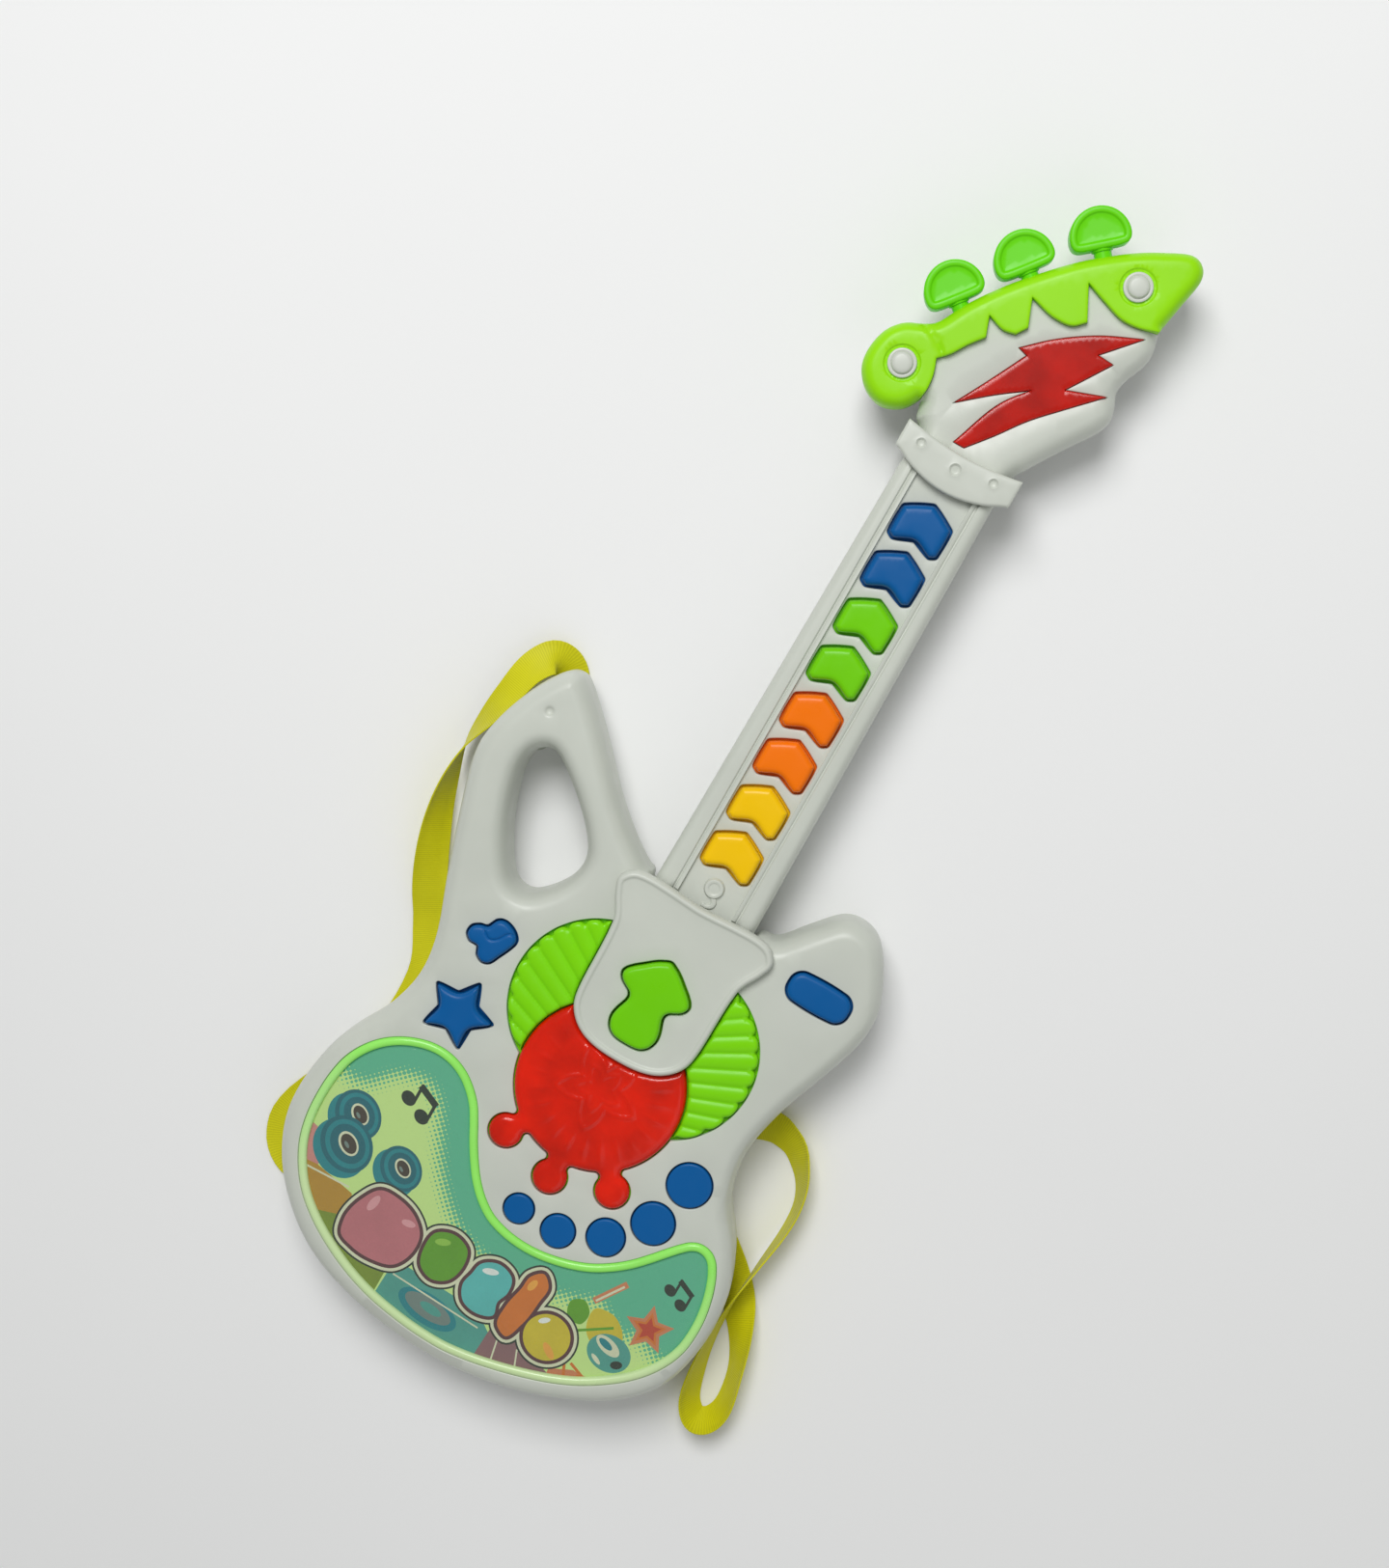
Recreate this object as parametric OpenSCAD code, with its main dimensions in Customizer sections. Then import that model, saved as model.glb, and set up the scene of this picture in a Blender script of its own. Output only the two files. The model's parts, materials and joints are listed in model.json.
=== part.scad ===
// Toy electric guitar with light-up lenses, sound keys on the neck and a ribbon strap.
// It lies on its back: +Z points out of the front, +Y runs along the neck to the head,
// +X is to the right seen from the front. The origin is on the rest plane, under the
// centre of the round red lens. Millimetres.

/* [Body] */
// Height of the front face above the surface it rests on
face_z = 32; // [31.5:0.1:32.5]
// Height of the seam between the front and back shells
seam_z = 17; // [16:0.5:18]
// Wall thickness of the moulded shells
wall = 2.2; // [2:0.1:2.4]
// Height of the feet, which leave room for the strap under the back
foot_z = 2; // [1.9:0.1:2.2]
// How far the edge of the body is rounded inwards
edge_r = 5; // [4:0.5:5.5]

/* [Neck and head] */
// Width of the neck where it meets the body
neck_w = 40.6; // [40:0.2:41]
// Width of the neck where it meets the head
neck_top_w = 36; // [35.6:0.2:36.4]
// Height of the front face of the neck and of the white head plate
neck_z = 30; // [29.8:0.1:30.2]
// Height of the underside of the neck and head
neck_back_z = 9; // [8:0.5:10]
// Height of the seam in the neck and head
neck_seam_z = 20; // [19.8:0.1:20.2]
// Height of the front face of the lime head crest
crest_z = 33; // [32.5:0.1:33.5]

/* [Keys and buttons] */
// Number of sound keys on the neck
keys = 8; // [8]
// Distance from one key to the next
key_pitch = 18.57; // [18.4:0.01:18.7]
// Width of a key
key_w = 19.2; // [18.8:0.2:20.4]
// Length of a key, from its point to its feet
key_l = 17; // [16.5:0.1:17.2]
// Travel of the keys and buttons
travel = 1.5; // [1:0.1:1.5]
// Gap around a key or button cap
gap = 0.4; // [0.35:0.05:0.5]

/* [Lens and panel] */
// Radius of the round red lens
lens_r = 31; // [30.5:0.1:31.2]
// Radius of the lime wings beside the lens
wing_r = 32.2; // [32:0.1:32.4]
// Width of the lime rim around the picture panel
rim_w = 3.2; // [2.8:0.1:3.4]

/* [Strap] */
// Width of the ribbon
ribbon_w = 12.7; // [12:0.1:12.8]
// Thickness of the ribbon
ribbon_t = 0.7; // [0.5:0.1:0.8]

/* [Hidden] */
$fn = 32;
fit = 0.15;
white = [0.86, 0.86, 0.85];
lime = [0.55, 0.86, 0.1];
green = [0.36, 0.78, 0.06];
blue = [0.02, 0.33, 0.6];
red = [0.78, 0.12, 0.05];
orange = [1, 0.45, 0];
yellow = [0.95, 0.75, 0.05];
ribbon_yellow = [0.8, 0.8, 0.15];
board_green = [0.1, 0.4, 0.2];
steel = [0.7, 0.7, 0.72];
dark = [0.15, 0.15, 0.16];
rubber = [0.75, 0.75, 0.7];

face_in = face_z - wall;
back_in = foot_z + wall;
neck_y = 71;
neck_end_y = 245;
key_floor = neck_z - 1.6;
key_roof = key_floor - 2;
first_key_y = 225;
axle_z = 26.5;
board_z = 21.5;
mat_z = 23.2;
key_mat_z = 18.7;
key_flange_z = key_roof - 2.3;
cap_flange_z = face_in - 2.8;
key_dome_h = key_flange_z - travel - 0.4 - key_mat_z;
cap_dome_h = cap_flange_z - travel - 0.5 - mat_z;

// Edge of the body, from one side of the neck round to the other
body_edge = [
    [neck_w / 2, neck_y], [22, 74.5], [28, 76], [36, 85.5], [44, 94], [52, 96], [60, 93],
    [67, 83.5], [72, 71], [72, 59], [67.5, 43.5], [60.5, 23.5], [57, 4], [60.5, -13.5],
    [70, -27.5], [77, -44], [78.5, -64], [74, -84], [62, -98.5], [44, -109], [20, -117],
    [-8, -120], [-38, -116.5], [-63, -107.5], [-82, -91.5], [-92.5, -73], [-94.5, -55],
    [-90.5, -34.5], [-81, -16], [-76.5, 0], [-78, 16], [-85, 36.5], [-92, 58],
    [-97.5, 79], [-96.5, 93], [-90.5, 109.5], [-83.5, 120.5], [-78.5, 123], [-73, 120.5],
    [-60, 108], [-45, 92], [-33, 81.5], [-25, 76], [-21.5, 74.5], [-neck_w / 2, neck_y]
];
// Hole in the long horn, by which a child carries the guitar
handle_edge = [
    [-79.5, 88], [-76.5, 93], [-71, 93.5], [-60, 85.5], [-49.5, 75], [-45, 66.5],
    [-47, 57], [-54, 48], [-60, 46], [-66, 50], [-74, 64], [-79, 79]
];
// Edge of the picture panel, with its rim
panel_edge = [
    [-86.5, -54], [-84, -37], [-76, -25], [-65, -18.3], [-54, -16.5], [-43.5, -19.8],
    [-34.5, -28], [-28, -39.5], [-20, -51.5], [-10, -59.8], [3, -62.8], [16, -61.6],
    [29, -57], [40, -48.8], [49, -38.5], [55, -32.3], [60.5, -30.8], [66, -33.5],
    [70.5, -42], [73.3, -54], [73.3, -66], [69.5, -77], [61, -88], [46, -99],
    [28, -106.5], [6, -112], [-12, -113], [-36, -109.5], [-57, -101], [-74, -88.5],
    [-84, -72]
];
// Right half of the neck plate, top to bottom
plate_half = [
    [0, 74], [10, 74.6], [20, 75], [26.5, 74], [30, 71], [31, 67.5], [28.5, 61.5],
    [25.5, 55.5], [24.6, 46], [24.4, 34], [24, 27], [22.8, 21.8], [19.5, 17.2],
    [14.5, 13.8], [8, 12], [0, 11.5]
];
// Right half of the arrow-shaped button
arrow_half = [
    [0, 52], [5.5, 48.9], [11.3, 44.3], [13.4, 41], [11.8, 38], [8, 35.6], [7.3, 33],
    [8.6, 29], [9.2, 25.3], [8, 21.6], [5, 19.3], [0, 18.8]
];
// Beamed-note button
note_edge = [
    [-60.5, 33.3], [-57.5, 34.5], [-53.5, 33.3], [-50.8, 30.5], [-51.2, 27.2],
    [-53.8, 21.5], [-55.5, 18.4], [-58.3, 17.4], [-61, 19], [-62.3, 21.8],
    [-65.3, 21.8], [-67.7, 24], [-67.3, 27.3], [-64.5, 29.2], [-62.3, 29.8]
];
// Top edge of the crest from the scroll to the tip, then down to the plate
crest_top = [
    [-24, 276], [-22, 270], [-22, 263], [-26, 256.5], [-33, 253.5], [-40, 255.5],
    [-45, 261], [-46.3, 268], [-44.5, 276], [-40, 281.5], [-34, 284.5], [-30, 287.5],
    [-25, 296.5], [-18, 306.5], [-9, 317], [2, 328], [15, 338], [25, 343.7],
    [33, 347], [38, 345.3], [40, 340.5], [38.5, 331], [36.3, 319]
];
// Lobes of the crest, between the white teeth of the head plate
crest_lobes = [
    [30, 317], [24, 316.5], [15, 319], [8, 321.5], [14, 310.5], [10, 307], [4, 306.3],
    [-6, 308.5], [-2.3, 299.5], [-5, 295.5], [-9, 294.7], [-15.5, 296.5], [-13, 290],
    [-17, 285], [-21, 279]
];
// Outer edge of the white head plate; its left side runs on under the crest
head_edge = [
    [18.2, 245.3], [18.6, 254.2], [21, 258.5], [26, 266.5], [32, 275.5], [36.3, 282],
    [37.8, 287], [36.8, 291.5], [34.8, 296.5], [35.6, 301.5], [38, 307.5], [38.8, 313],
    [36.8, 321], [35, 329], [28, 334], [12, 322], [-4, 307], [-16, 290], [-22, 274],
    [-22.6, 264], [-21, 256.5], [-18.6, 253.5], [-18.2, 245.3]
];
// Lightning bolt, from its tip down the right side and back up the left side
bolt_edge = [
    [33, 315], [22.3, 303.2], [28.3, 302.8], [18.5, 287.8], [31.8, 292.5],
    [21.5, 282], [13, 273], [5.5, 263], [-1.2, 254.8], [-5.2, 254.8], [-3.5, 259],
    [3, 275], [8.8, 282.3], [0, 276], [-11.5, 266.5], [-5, 278.5], [1.7, 291.6],
    [-1.8, 292.6], [6.7, 300.3], [19, 308.6]
];
// Round buttons: centre x, centre y, radius
dots = [
    [-3.5, -53.3, 5.5], [12.5, -53.2, 6.2], [28.3, -46.4, 6.9], [40.3, -33.3, 7.8],
    [44.6, -14.7, 8.1]
];
// Drops of the lens: centre x, centre y, radius
drops = [[-21.3, -31, 6.5], [0.3, -37.5, 6.6], [22, -30.7, 6.6]];
star_at = [-56.5, -2.6];
pill_at = [50.5, 66.5];
pill_size = [24, 11.6];
// Tuning pegs: centre of the knob's flat side, then the way its shaft points out
pegs = [[[5.8, 334.4], 130.5], [[-11.9, 316.2], 141], [[-27.3, 296.3], 141.5]];
knob_r = 10.8;
knob_cut = 3.7;
knob_t = 9;
wire_r = 0.7;
studs = [[22.5, 328.5], [-33.5, 269]];
case_screw_at = [
    [-80, 104], [57, 82], [-36, 67], [54, 28], [-80, -55], [64, -60], [-43, -100],
    [37, -99]
];
neck_screw_at = [81, 241];
feet = [[50, 74], [-82, 92], [-22, 66], [48, -64]];
tenon_screw_x = 7;
tenon_screw_y = 60;
speaker_at = [-28, 26];
speaker_r = 24;
switch_at = [38, 50];
switch_throw = 4;
tray_at = [-2, -80];
tray_size = [60, 48];
door_size = [54, 42];
battery_r = 7.2;
battery_l = 50.5;
hinge_y = tray_at[1] + door_size[1] / 2;
hinge_z = 2.4;
led_at = [[-12, 6], [12, 6], [0, -14], [-20, -30], [20, -30]];

// Route of the ribbon: x, y, z and its turn about its own length (0 and 180 are flat)
strap_route = [
    [-80.5, 112, 1.1, 0], [-83, 118.2, 1.4, 3], [-87.2, 121.2, 3.6, 8],
    [-91.8, 120.3, 7, 14], [-96.2, 113, 9.4, 26], [-98.6, 102, 11.2, 38],
    [-101.1, 90.5, 12, 56], [-103.2, 79, 11.9, 80], [-102.4, 66, 11, 106],
    [-99.8, 52, 9.4, 128], [-95.5, 38, 7, 150], [-90.3, 25, 4.2, 168], [-84, 13, 1.7, 177],
    [-76.5, -6, 1, 180], [-78.5, -35, 1, 180], [-94, -70, 1, 180], [-94, -84, 1, 180],
    [-86, -91.5, 1, 180], [-75, -90, 1, 180], [-64, -79, 1, 180], [-36, -41, 1, 180],
    [10, -15, 1, 180], [54, 9, 1.1, 184], [69, 11, 3.8, 212], [78, 4, 5.8, 238],
    [83, -6, 6.7, 256], [84, -18, 7.6, 264], [82, -36, 9.3, 272], [80.5, -54, 9.1, 281],
    [81, -71, 7.5, 290], [83.6, -86, 6.4, 300], [86.6, -93.5, 6.2, 302],
    [91.3, -97, 6.2, 302], [95.8, -94.2, 6.2, 300], [97.4, -86.5, 6.3, 297],
    [94.5, -73, 6.3, 296], [89, -60, 5, 318], [82, -50, 1.3, 354], [73, -41, 1, 360],
    [60, -31, 1, 360]
];

// Point between b and c on a smooth curve through a, b, c and d
function between(a, b, c, d, t) =
    b + 0.5 * t * (c - a + t * (2 * a - 5 * b + 4 * c - d + t * (3 * b - a - 3 * c + d)));

// Smooth closed curve through the points p, with n steps from each to the next
function ring(p, n = 3) =
    let (m = len(p))
    [for (i = [0:m - 1], j = [0:n - 1])
        between(p[(i + m - 1) % m], p[i], p[(i + 1) % m], p[(i + 2) % m], j / n)];

// Smooth open curve through the points p
function curve(p, n = 3) =
    let (m = len(p), q = concat([2 * p[0] - p[1]], p, [2 * p[m - 1] - p[m - 2]]))
    concat(
        [for (i = [1:m - 1], j = [0:n - 1])
            between(q[i - 1], q[i], q[i + 1], q[i + 2], j / n)],
        [p[m - 1]]);

// A half outline and its mirror image, as one closed outline
function both_halves(p) =
    concat(p, [for (i = [len(p) - 2:-1:1]) [-p[i][0], p[i][1]]]);

// Heights and insets of the steps that round an edge: top height, drop, inset, steps
function rounding(top, drop, inset, n = 4) =
    [for (i = [1:n]) [top - drop * (1 - sin(90 * i / n)), inset * (1 - cos(90 * i / n))]];

// Slabs that stand on z and step in towards the top
module rise(z, steps) {
    for (s = steps)
        translate([0, 0, z]) linear_extrude(s[0] - z) offset(delta = -s[1]) children();
}

// Slabs that hang from z and step in towards the bottom
module fall(z, steps) {
    for (s = steps)
        translate([0, 0, -s[0]]) linear_extrude(z + s[0]) offset(delta = -s[1]) children();
}

// Outline with its corners rounded by r
module soft(r) {
    offset(r = r) offset(delta = -2 * r) offset(r = r) children();
}

// The same piece at each of the points, at height z
module at_each(points, z) {
    for (p = points) translate([p[0], p[1], z]) children();
}

// Outlines of the big pieces
module body_2d() {
    difference() {
        polygon(curve(body_edge));
        polygon(ring(handle_edge));
    }
}
module neck_2d() {
    polygon([
        [-neck_w / 2, neck_y + fit], [neck_w / 2, neck_y + fit],
        [neck_top_w / 2, neck_end_y], [-neck_top_w / 2, neck_end_y]
    ]);
}
module crest_2d() {
    polygon(concat(curve(crest_top), crest_lobes));
}
module head_2d() {
    polygon(curve(head_edge));
}
module plate_2d() {
    polygon(ring(both_halves(plate_half), 2));
}
module wings_2d() {
    for (s = [-1, 1]) translate([s * 14.2, 23.5]) circle(wing_r, $fn = 96);
}
module splash_2d() {
    offset(r = -1.5) offset(delta = 1.5) union() {
        circle(lens_r, $fn = 96);
        for (d = drops) {
            translate([d[0], d[1]]) circle(d[2]);
            polygon([
                [d[0] - 3.4, d[1]], [d[0] + 3.4, d[1]],
                [d[0] * 0.7 + 4.5, d[1] * 0.7], [d[0] * 0.7 - 4.5, d[1] * 0.7]
            ]);
        }
    }
}
module panel_2d() {
    intersection() {
        polygon(ring(panel_edge, 2));
        offset(delta = -edge_r) body_2d();
    }
}
module bolt_2d() {
    polygon(bolt_edge);
}
module key_2d() {
    soft(1.3) polygon([
        [-key_w / 2, 1.4 - key_l / 2], [2.4 - key_w / 2, -key_l / 2], [0, 2.8 - key_l / 2],
        [key_w / 2 - 2.4, -key_l / 2], [key_w / 2, 1.4 - key_l / 2], [key_w / 2, key_l / 2 - 5],
        [0, key_l / 2], [-key_w / 2, key_l / 2 - 5]
    ]);
}
module star_2d() {
    soft(0.5) translate(star_at) polygon([for (i = [0:9])
        let (r = i % 2 == 0 ? 13.4 : 7.4, a = 82 + 36 * i) r * [cos(a), sin(a)]]);
}
module pill_2d() {
    translate(pill_at) offset(r = 5) square(pill_size - [10, 10], center = true);
}
module note_2d() {
    polygon(ring(note_edge, 2));
}
module arrow_2d() {
    polygon(ring(both_halves(arrow_half), 2));
}
module buttons_2d() {
    star_2d();
    pill_2d();
    note_2d();
    for (d = dots) translate([d[0], d[1]]) circle(d[2], $fn = 48);
}
module lens_opening_2d() {
    offset(delta = fit) union() {
        wings_2d();
        splash_2d();
    }
}
function key_y(i) = first_key_y - key_pitch * (i - 1);

// White front half of the body
module front_shell() {
    steps = rounding(face_z, 11, edge_r);
    color(white) difference() {
        union() {
            difference() {
                rise(seam_z, steps) body_2d();
                rise(seam_z - 1, [for (s = steps) [s[0] - wall, 0.75 * s[1]]])
                    offset(delta = -wall) body_2d();
            }
            intersection() {
                at_each(case_screw_at, 12) cylinder(r = 3.4, h = face_z - 13);
                rise(11, steps) body_2d();
            }
            translate([0, 0, face_in - 1.3]) linear_extrude(1.5) offset(delta = fit) panel_2d();
        }
        at_each(case_screw_at, 11) cylinder(r = 1.3, h = 12);
        translate([0, 0, face_in - 2]) linear_extrude(6) lens_opening_2d();
        translate([0, 0, face_in - 2]) linear_extrude(6) offset(delta = gap) buttons_2d();
        translate([0, 0, face_z - 1.7]) linear_extrude(4) offset(delta = fit) panel_2d();
        for (s = [-1, 1]) translate([s * 25, 68, face_in - 1]) cylinder(r = 2.3, h = 5);
        translate([-13, neck_y - 6, seam_z - 1]) cube([26, 8, 4]);
    }
}

// White back half of the body, with its feet, speaker grille and battery opening
module back_shell() {
    steps = rounding(-foot_z, 11, edge_r + 1);
    color(white) difference() {
        union() {
            difference() {
                fall(seam_z - fit, steps) body_2d();
                fall(seam_z + 1, [for (s = steps) [s[0] - wall, s[1]]])
                    offset(delta = -wall) body_2d();
                translate([tray_at[0], tray_at[1], 1])
                    cube([tray_size[0] + 1, tray_size[1] + 4, 10], center = true);
            }
            battery_frame();
            translate([speaker_at[0], speaker_at[1], 0]) difference() {
                cylinder(r = speaker_r + 4, h = foot_z + 1, $fn = 96);
                translate([0, 0, -1]) cylinder(r = speaker_r + 1.6, h = foot_z + 1.5, $fn = 96);
            }
            at_each(feet, 0) cylinder(r = 4, h = foot_z + 1);
            cylinder(r = 6, h = foot_z + 1);
            at_each(case_screw_at, foot_z + 1) cylinder(r = 4.6, h = 11 - foot_z - fit);
            for (s = [-1, 1])
                translate([s * tenon_screw_x, tenon_screw_y, foot_z + 1]) cylinder(r = 3.6, h = 8.2);
        }
        at_each(case_screw_at, -1) cylinder(r = 1.9, h = 16);
        at_each(case_screw_at, -1) cylinder(r = 3.4, h = 10);
        for (s = [-1, 1]) translate([s * tenon_screw_x, tenon_screw_y, -1]) {
            cylinder(r = 1.9, h = 16);
            cylinder(r = 3.4, h = 9);
        }
        translate([speaker_at[0], speaker_at[1], 0]) grille_holes();
        translate([-13, neck_y - 6, 11]) cube([26, 8, 8]);
        translate([switch_at[0] - 3.7, switch_at[1] - 2.5, -1]) cube([7.4 + switch_throw, 5, 8]);
    }
}

// Raised frame around the battery door, with the door's seat and its hinge pockets
module battery_frame() {
    difference() {
        translate([tray_at[0], tray_at[1], 0]) linear_extrude(back_in)
            offset(r = 3) square(tray_size, center = true);
        translate([tray_at[0], tray_at[1], 0]) linear_extrude(20, center = true)
            square(door_size + [0.8, 0.8], center = true);
        translate([tray_at[0], hinge_y, hinge_z]) rotate([0, 90, 0])
            cylinder(r = 2.1, h = 48, center = true);
        translate([tray_at[0], hinge_y, hinge_z]) rotate([0, 90, 0])
            cylinder(r = 1.5, h = door_size[0] + 7, center = true);
        translate([tray_at[0] - door_size[0] / 2 - 0.5, hinge_y - 2, -1])
            cube([door_size[0] + 1, 4.1, hinge_z + 1]);
        translate([tray_at[0], tray_at[1] - door_size[1] / 2, -1]) {
            cylinder(r = 4.9, h = 4);
            cylinder(r = 1.9, h = 9);
        }
    }
}

// Rings of small sound holes
module grille_holes() {
    for (k = [0:3], i = [0:max(1, 6 * k) - 1])
        rotate(60 / max(1, k) * i) translate([5.2 * k, 0, 1]) cylinder(r = 1.3, h = 5, $fn = 16);
}

// White front half of the neck, with the sunken channel that the keys sit in
module neck_front() {
    color(white) difference() {
        rise(neck_seam_z, rounding(neck_z, 3, 3, 3)) neck_2d();
        translate([0, 0, neck_seam_z - 1]) linear_extrude(key_roof - neck_seam_z + 1)
            polygon([
                [2 - neck_w / 2, neck_y + 3], [neck_w / 2 - 2, neck_y + 3],
                [neck_top_w / 2 - 2, neck_end_y + 1], [2 - neck_top_w / 2, neck_end_y + 1]
            ]);
        translate([-10.8, 60, key_floor]) cube([21.6, 200, 4]);
        for (i = [1:keys]) translate([0, key_y(i), key_roof - 1]) linear_extrude(6)
            offset(delta = gap) key_2d();
        for (y = neck_screw_at) translate([0, y, neck_seam_z]) {
            cylinder(r = 1.9, h = 12);
            translate([0, 0, key_floor - 0.6 - neck_seam_z]) cylinder(r = 3.3, h = 9);
        }
    }
}

// White back half of the neck, with the tenon that goes into the body
module neck_back() {
    color(white) difference() {
        union() {
            fall(neck_seam_z - fit, rounding(-neck_back_z, 10, 7)) neck_2d();
            translate([-12.6, 52, 11.6]) cube([25.2, 20, 8]);
        }
        translate([0, 0, neck_back_z + 2.6]) linear_extrude(20) polygon([
            [-13, neck_y + 4], [13, neck_y + 4], [12.6, neck_end_y + 1], [-12.6, neck_end_y + 1]
        ]);
        for (s = [-1, 1]) translate([s * tenon_screw_x, tenon_screw_y, 11]) cylinder(r = 1.3, h = 7);
    }
    color(white) translate([0, neck_screw_at[0], neck_back_z + 2]) difference() {
        cylinder(r = 3.4, h = 8);
        translate([0, 0, 2]) cylinder(r = 1.3, h = 10);
    }
}

// White front plate of the head
module head_front() {
    steps = rounding(neck_z, 6, 4);
    color(white) difference() {
        rise(neck_seam_z, steps) head_2d();
        rise(neck_seam_z - 1, [for (s = steps) [s[0] - wall, s[1]]])
            offset(delta = -wall) head_2d();
        translate([0, 0, neck_seam_z - 1]) linear_extrude(20) offset(delta = fit) crest_2d();
        translate([0, 0, neck_z - wall - 1]) linear_extrude(6) offset(delta = fit) bolt_2d();
        translate([-15, 240, neck_seam_z - 1]) cube([30, 12, 7]);
    }
}

// White back of the head, under the plate and the crest, with the tongue into the neck
module head_back() {
    steps = rounding(-neck_back_z, 8, 5);
    color(white) difference() {
        union() {
            fall(neck_seam_z - fit, steps) head_back_2d();
            translate([-12, 234, 11.9]) cube([24, 16, 5]);
        }
        fall(neck_seam_z + 1, [for (s = steps) [s[0] - wall, s[1]]])
            offset(delta = -wall) difference() {
                head_back_2d();
                translate([-30, 240]) square([60, 12]);
            }
        translate([0, neck_screw_at[1], 11]) cylinder(r = 1.3, h = 7);
    }
}
module head_back_2d() {
    head_2d();
    offset(delta = -0.4) crest_2d();
}

// Lime crest with its scroll; hollow from below, bored for the peg shafts
module head_crest() {
    steps = rounding(crest_z, 4, 2.4);
    color(lime) difference() {
        rise(neck_seam_z + fit, steps) crest_2d();
        translate([0, 0, neck_seam_z - 1]) linear_extrude(crest_z - neck_seam_z - 1.2)
            offset(delta = -wall) crest_2d();
        for (p = pegs) translate([p[0][0], p[0][1], axle_z]) rotate([0, 90, p[1]]) {
            translate([0, 0, -7]) cylinder(r = 3.35, h = 9);
            translate([0, 0, -12]) cylinder(r = 4.35, h = 8);
        }
        at_each(studs, crest_z - 1) cylinder(r = 6.2, h = 5);
        at_each(studs, crest_z - 4) cylinder(r = 2.15, h = 5);
    }
}

// Two white studs set in rings on the crest
module crest_studs() {
    color(white) at_each(studs, 0) {
        translate([0, 0, crest_z - 3.5]) cylinder(r = 2, h = 4);
        translate([0, 0, crest_z - 0.9]) cylinder(r = 5.1, h = 1.6);
        translate([0, 0, crest_z]) cylinder(r1 = 5.1, r2 = 3.2, h = 1.8, $fn = 48);
    }
}

// White band that wraps the joint between the neck and the head
module collar() {
    front = [
        [-22, 244.6], [-19, 243.4], [-14, 241], [-7, 239], [0, 238.3], [7, 239], [14, 241],
        [19, 243.4], [22, 244.6]
    ];
    back = [[22, 254.3], [12, 252.8], [0, 252], [-12, 252.8], [-22, 254.3]];
    color(white) difference() {
        union() {
            translate([0, 0, neck_z + fit]) linear_extrude(3.3)
                polygon(concat(curve(front), back));
            for (s = [-1, 1]) translate([s * 20.6 - 1.4, 245.2, 12]) cube([2.8, 8.6, 20]);
        }
        at_each([[-14.5, 249], [13.5, 249]], neck_z + 2.4) cylinder(r = 1.5, h = 4, $fn = 24);
        translate([0, 246.8, neck_z + 2.4]) cylinder(r = 2, h = 4, $fn = 24);
    }
}

// Red lightning bolt that lets the light through the head plate
module bolt_lens() {
    color(red) {
        translate([0, 0, neck_z - wall - 1]) linear_extrude(wall + 2) bolt_2d();
        translate([0, 0, neck_z - wall - 1.6]) linear_extrude(1.4) intersection() {
            offset(delta = 1) bolt_2d();
            offset(delta = -wall - 4.2) head_2d();
            offset(delta = -0.4) difference() {
                square([300, 800], center = true);
                crest_2d();
            }
        }
    }
}

// Raised white plate over the root of the neck, with a hole for the arrow button
module neck_plate() {
    color(white) difference() {
        union() {
            rise(face_z + fit, rounding(face_z + 4.6, 1.8, 1.5, 3)) plate_2d();
            translate([-19, neck_y + 0.4, neck_z + fit]) cube([38, 3, 3]);
            for (s = [-1, 1]) translate([s * 25, 68, face_in - 1]) cylinder(r = 2, h = 4);
        }
        translate([0, 0, face_z + 3.6]) linear_extrude(4) offset(delta = -2.2) plate_2d();
        translate([0, 0, face_z - 1]) linear_extrude(9) offset(delta = gap) arrow_2d();
    }
}

// Lime disc under the lens, with a ribbed wing on each side
module wing_disc() {
    color(lime) difference() {
        union() {
            translate([0, 0, face_in - 2.2]) linear_extrude(2) offset(delta = 1.6) union() {
                wings_2d();
                splash_2d();
            }
            difference() {
                rise(face_in - 1, rounding(face_z + 1.4, 1.2, 1.2, 2)) wings_2d();
                wing_grooves();
                translate([0, 0, face_in - 0.2]) linear_extrude(9) offset(delta = fit) {
                    splash_2d();
                    plate_2d();
                }
            }
        }
        translate([0, 0, face_in - 5]) cylinder(r = lens_r - 6, h = 9, $fn = 96);
        at_each(drops, face_in - 5) cylinder(r = 3.4, h = 9);
        translate([0, 36, face_in - 5]) cylinder(r = 5, h = 9);
    }
}

// Grooves between the ribs, fanned like the folds of a shell
module wing_grooves() {
    for (s = [0, 1], i = [0:10]) mirror([s, 0, 0]) translate([-76, -29, face_z + 1.9])
        rotate(2.7 * i + 11) translate([132, 0, 0]) rotate([45, 0, 0])
            cube([56, 1.7, 1.7], center = true);
}

// Red splash lens: a low dome with three drops running from it
module splash_lens() {
    color(red) difference() {
        union() {
            rise(face_in, rounding(face_z + 2, 1.6, 1.4, 2)) splash_2d();
            translate([0, 0, face_z]) cylinder(r1 = lens_r - 1.6, r2 = lens_r - 12, h = 3, $fn = 96);
        }
        translate([0, 0, face_z - 5]) linear_extrude(14) offset(delta = fit) plate_2d();
    }
}

// Printed picture sheet
module art_panel() {
    color([0.35, 0.75, 0.6]) translate([0, 0, face_z - 1.6]) linear_extrude(0.4)
        offset(delta = -rim_w + 0.4) panel_2d();
}

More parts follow.
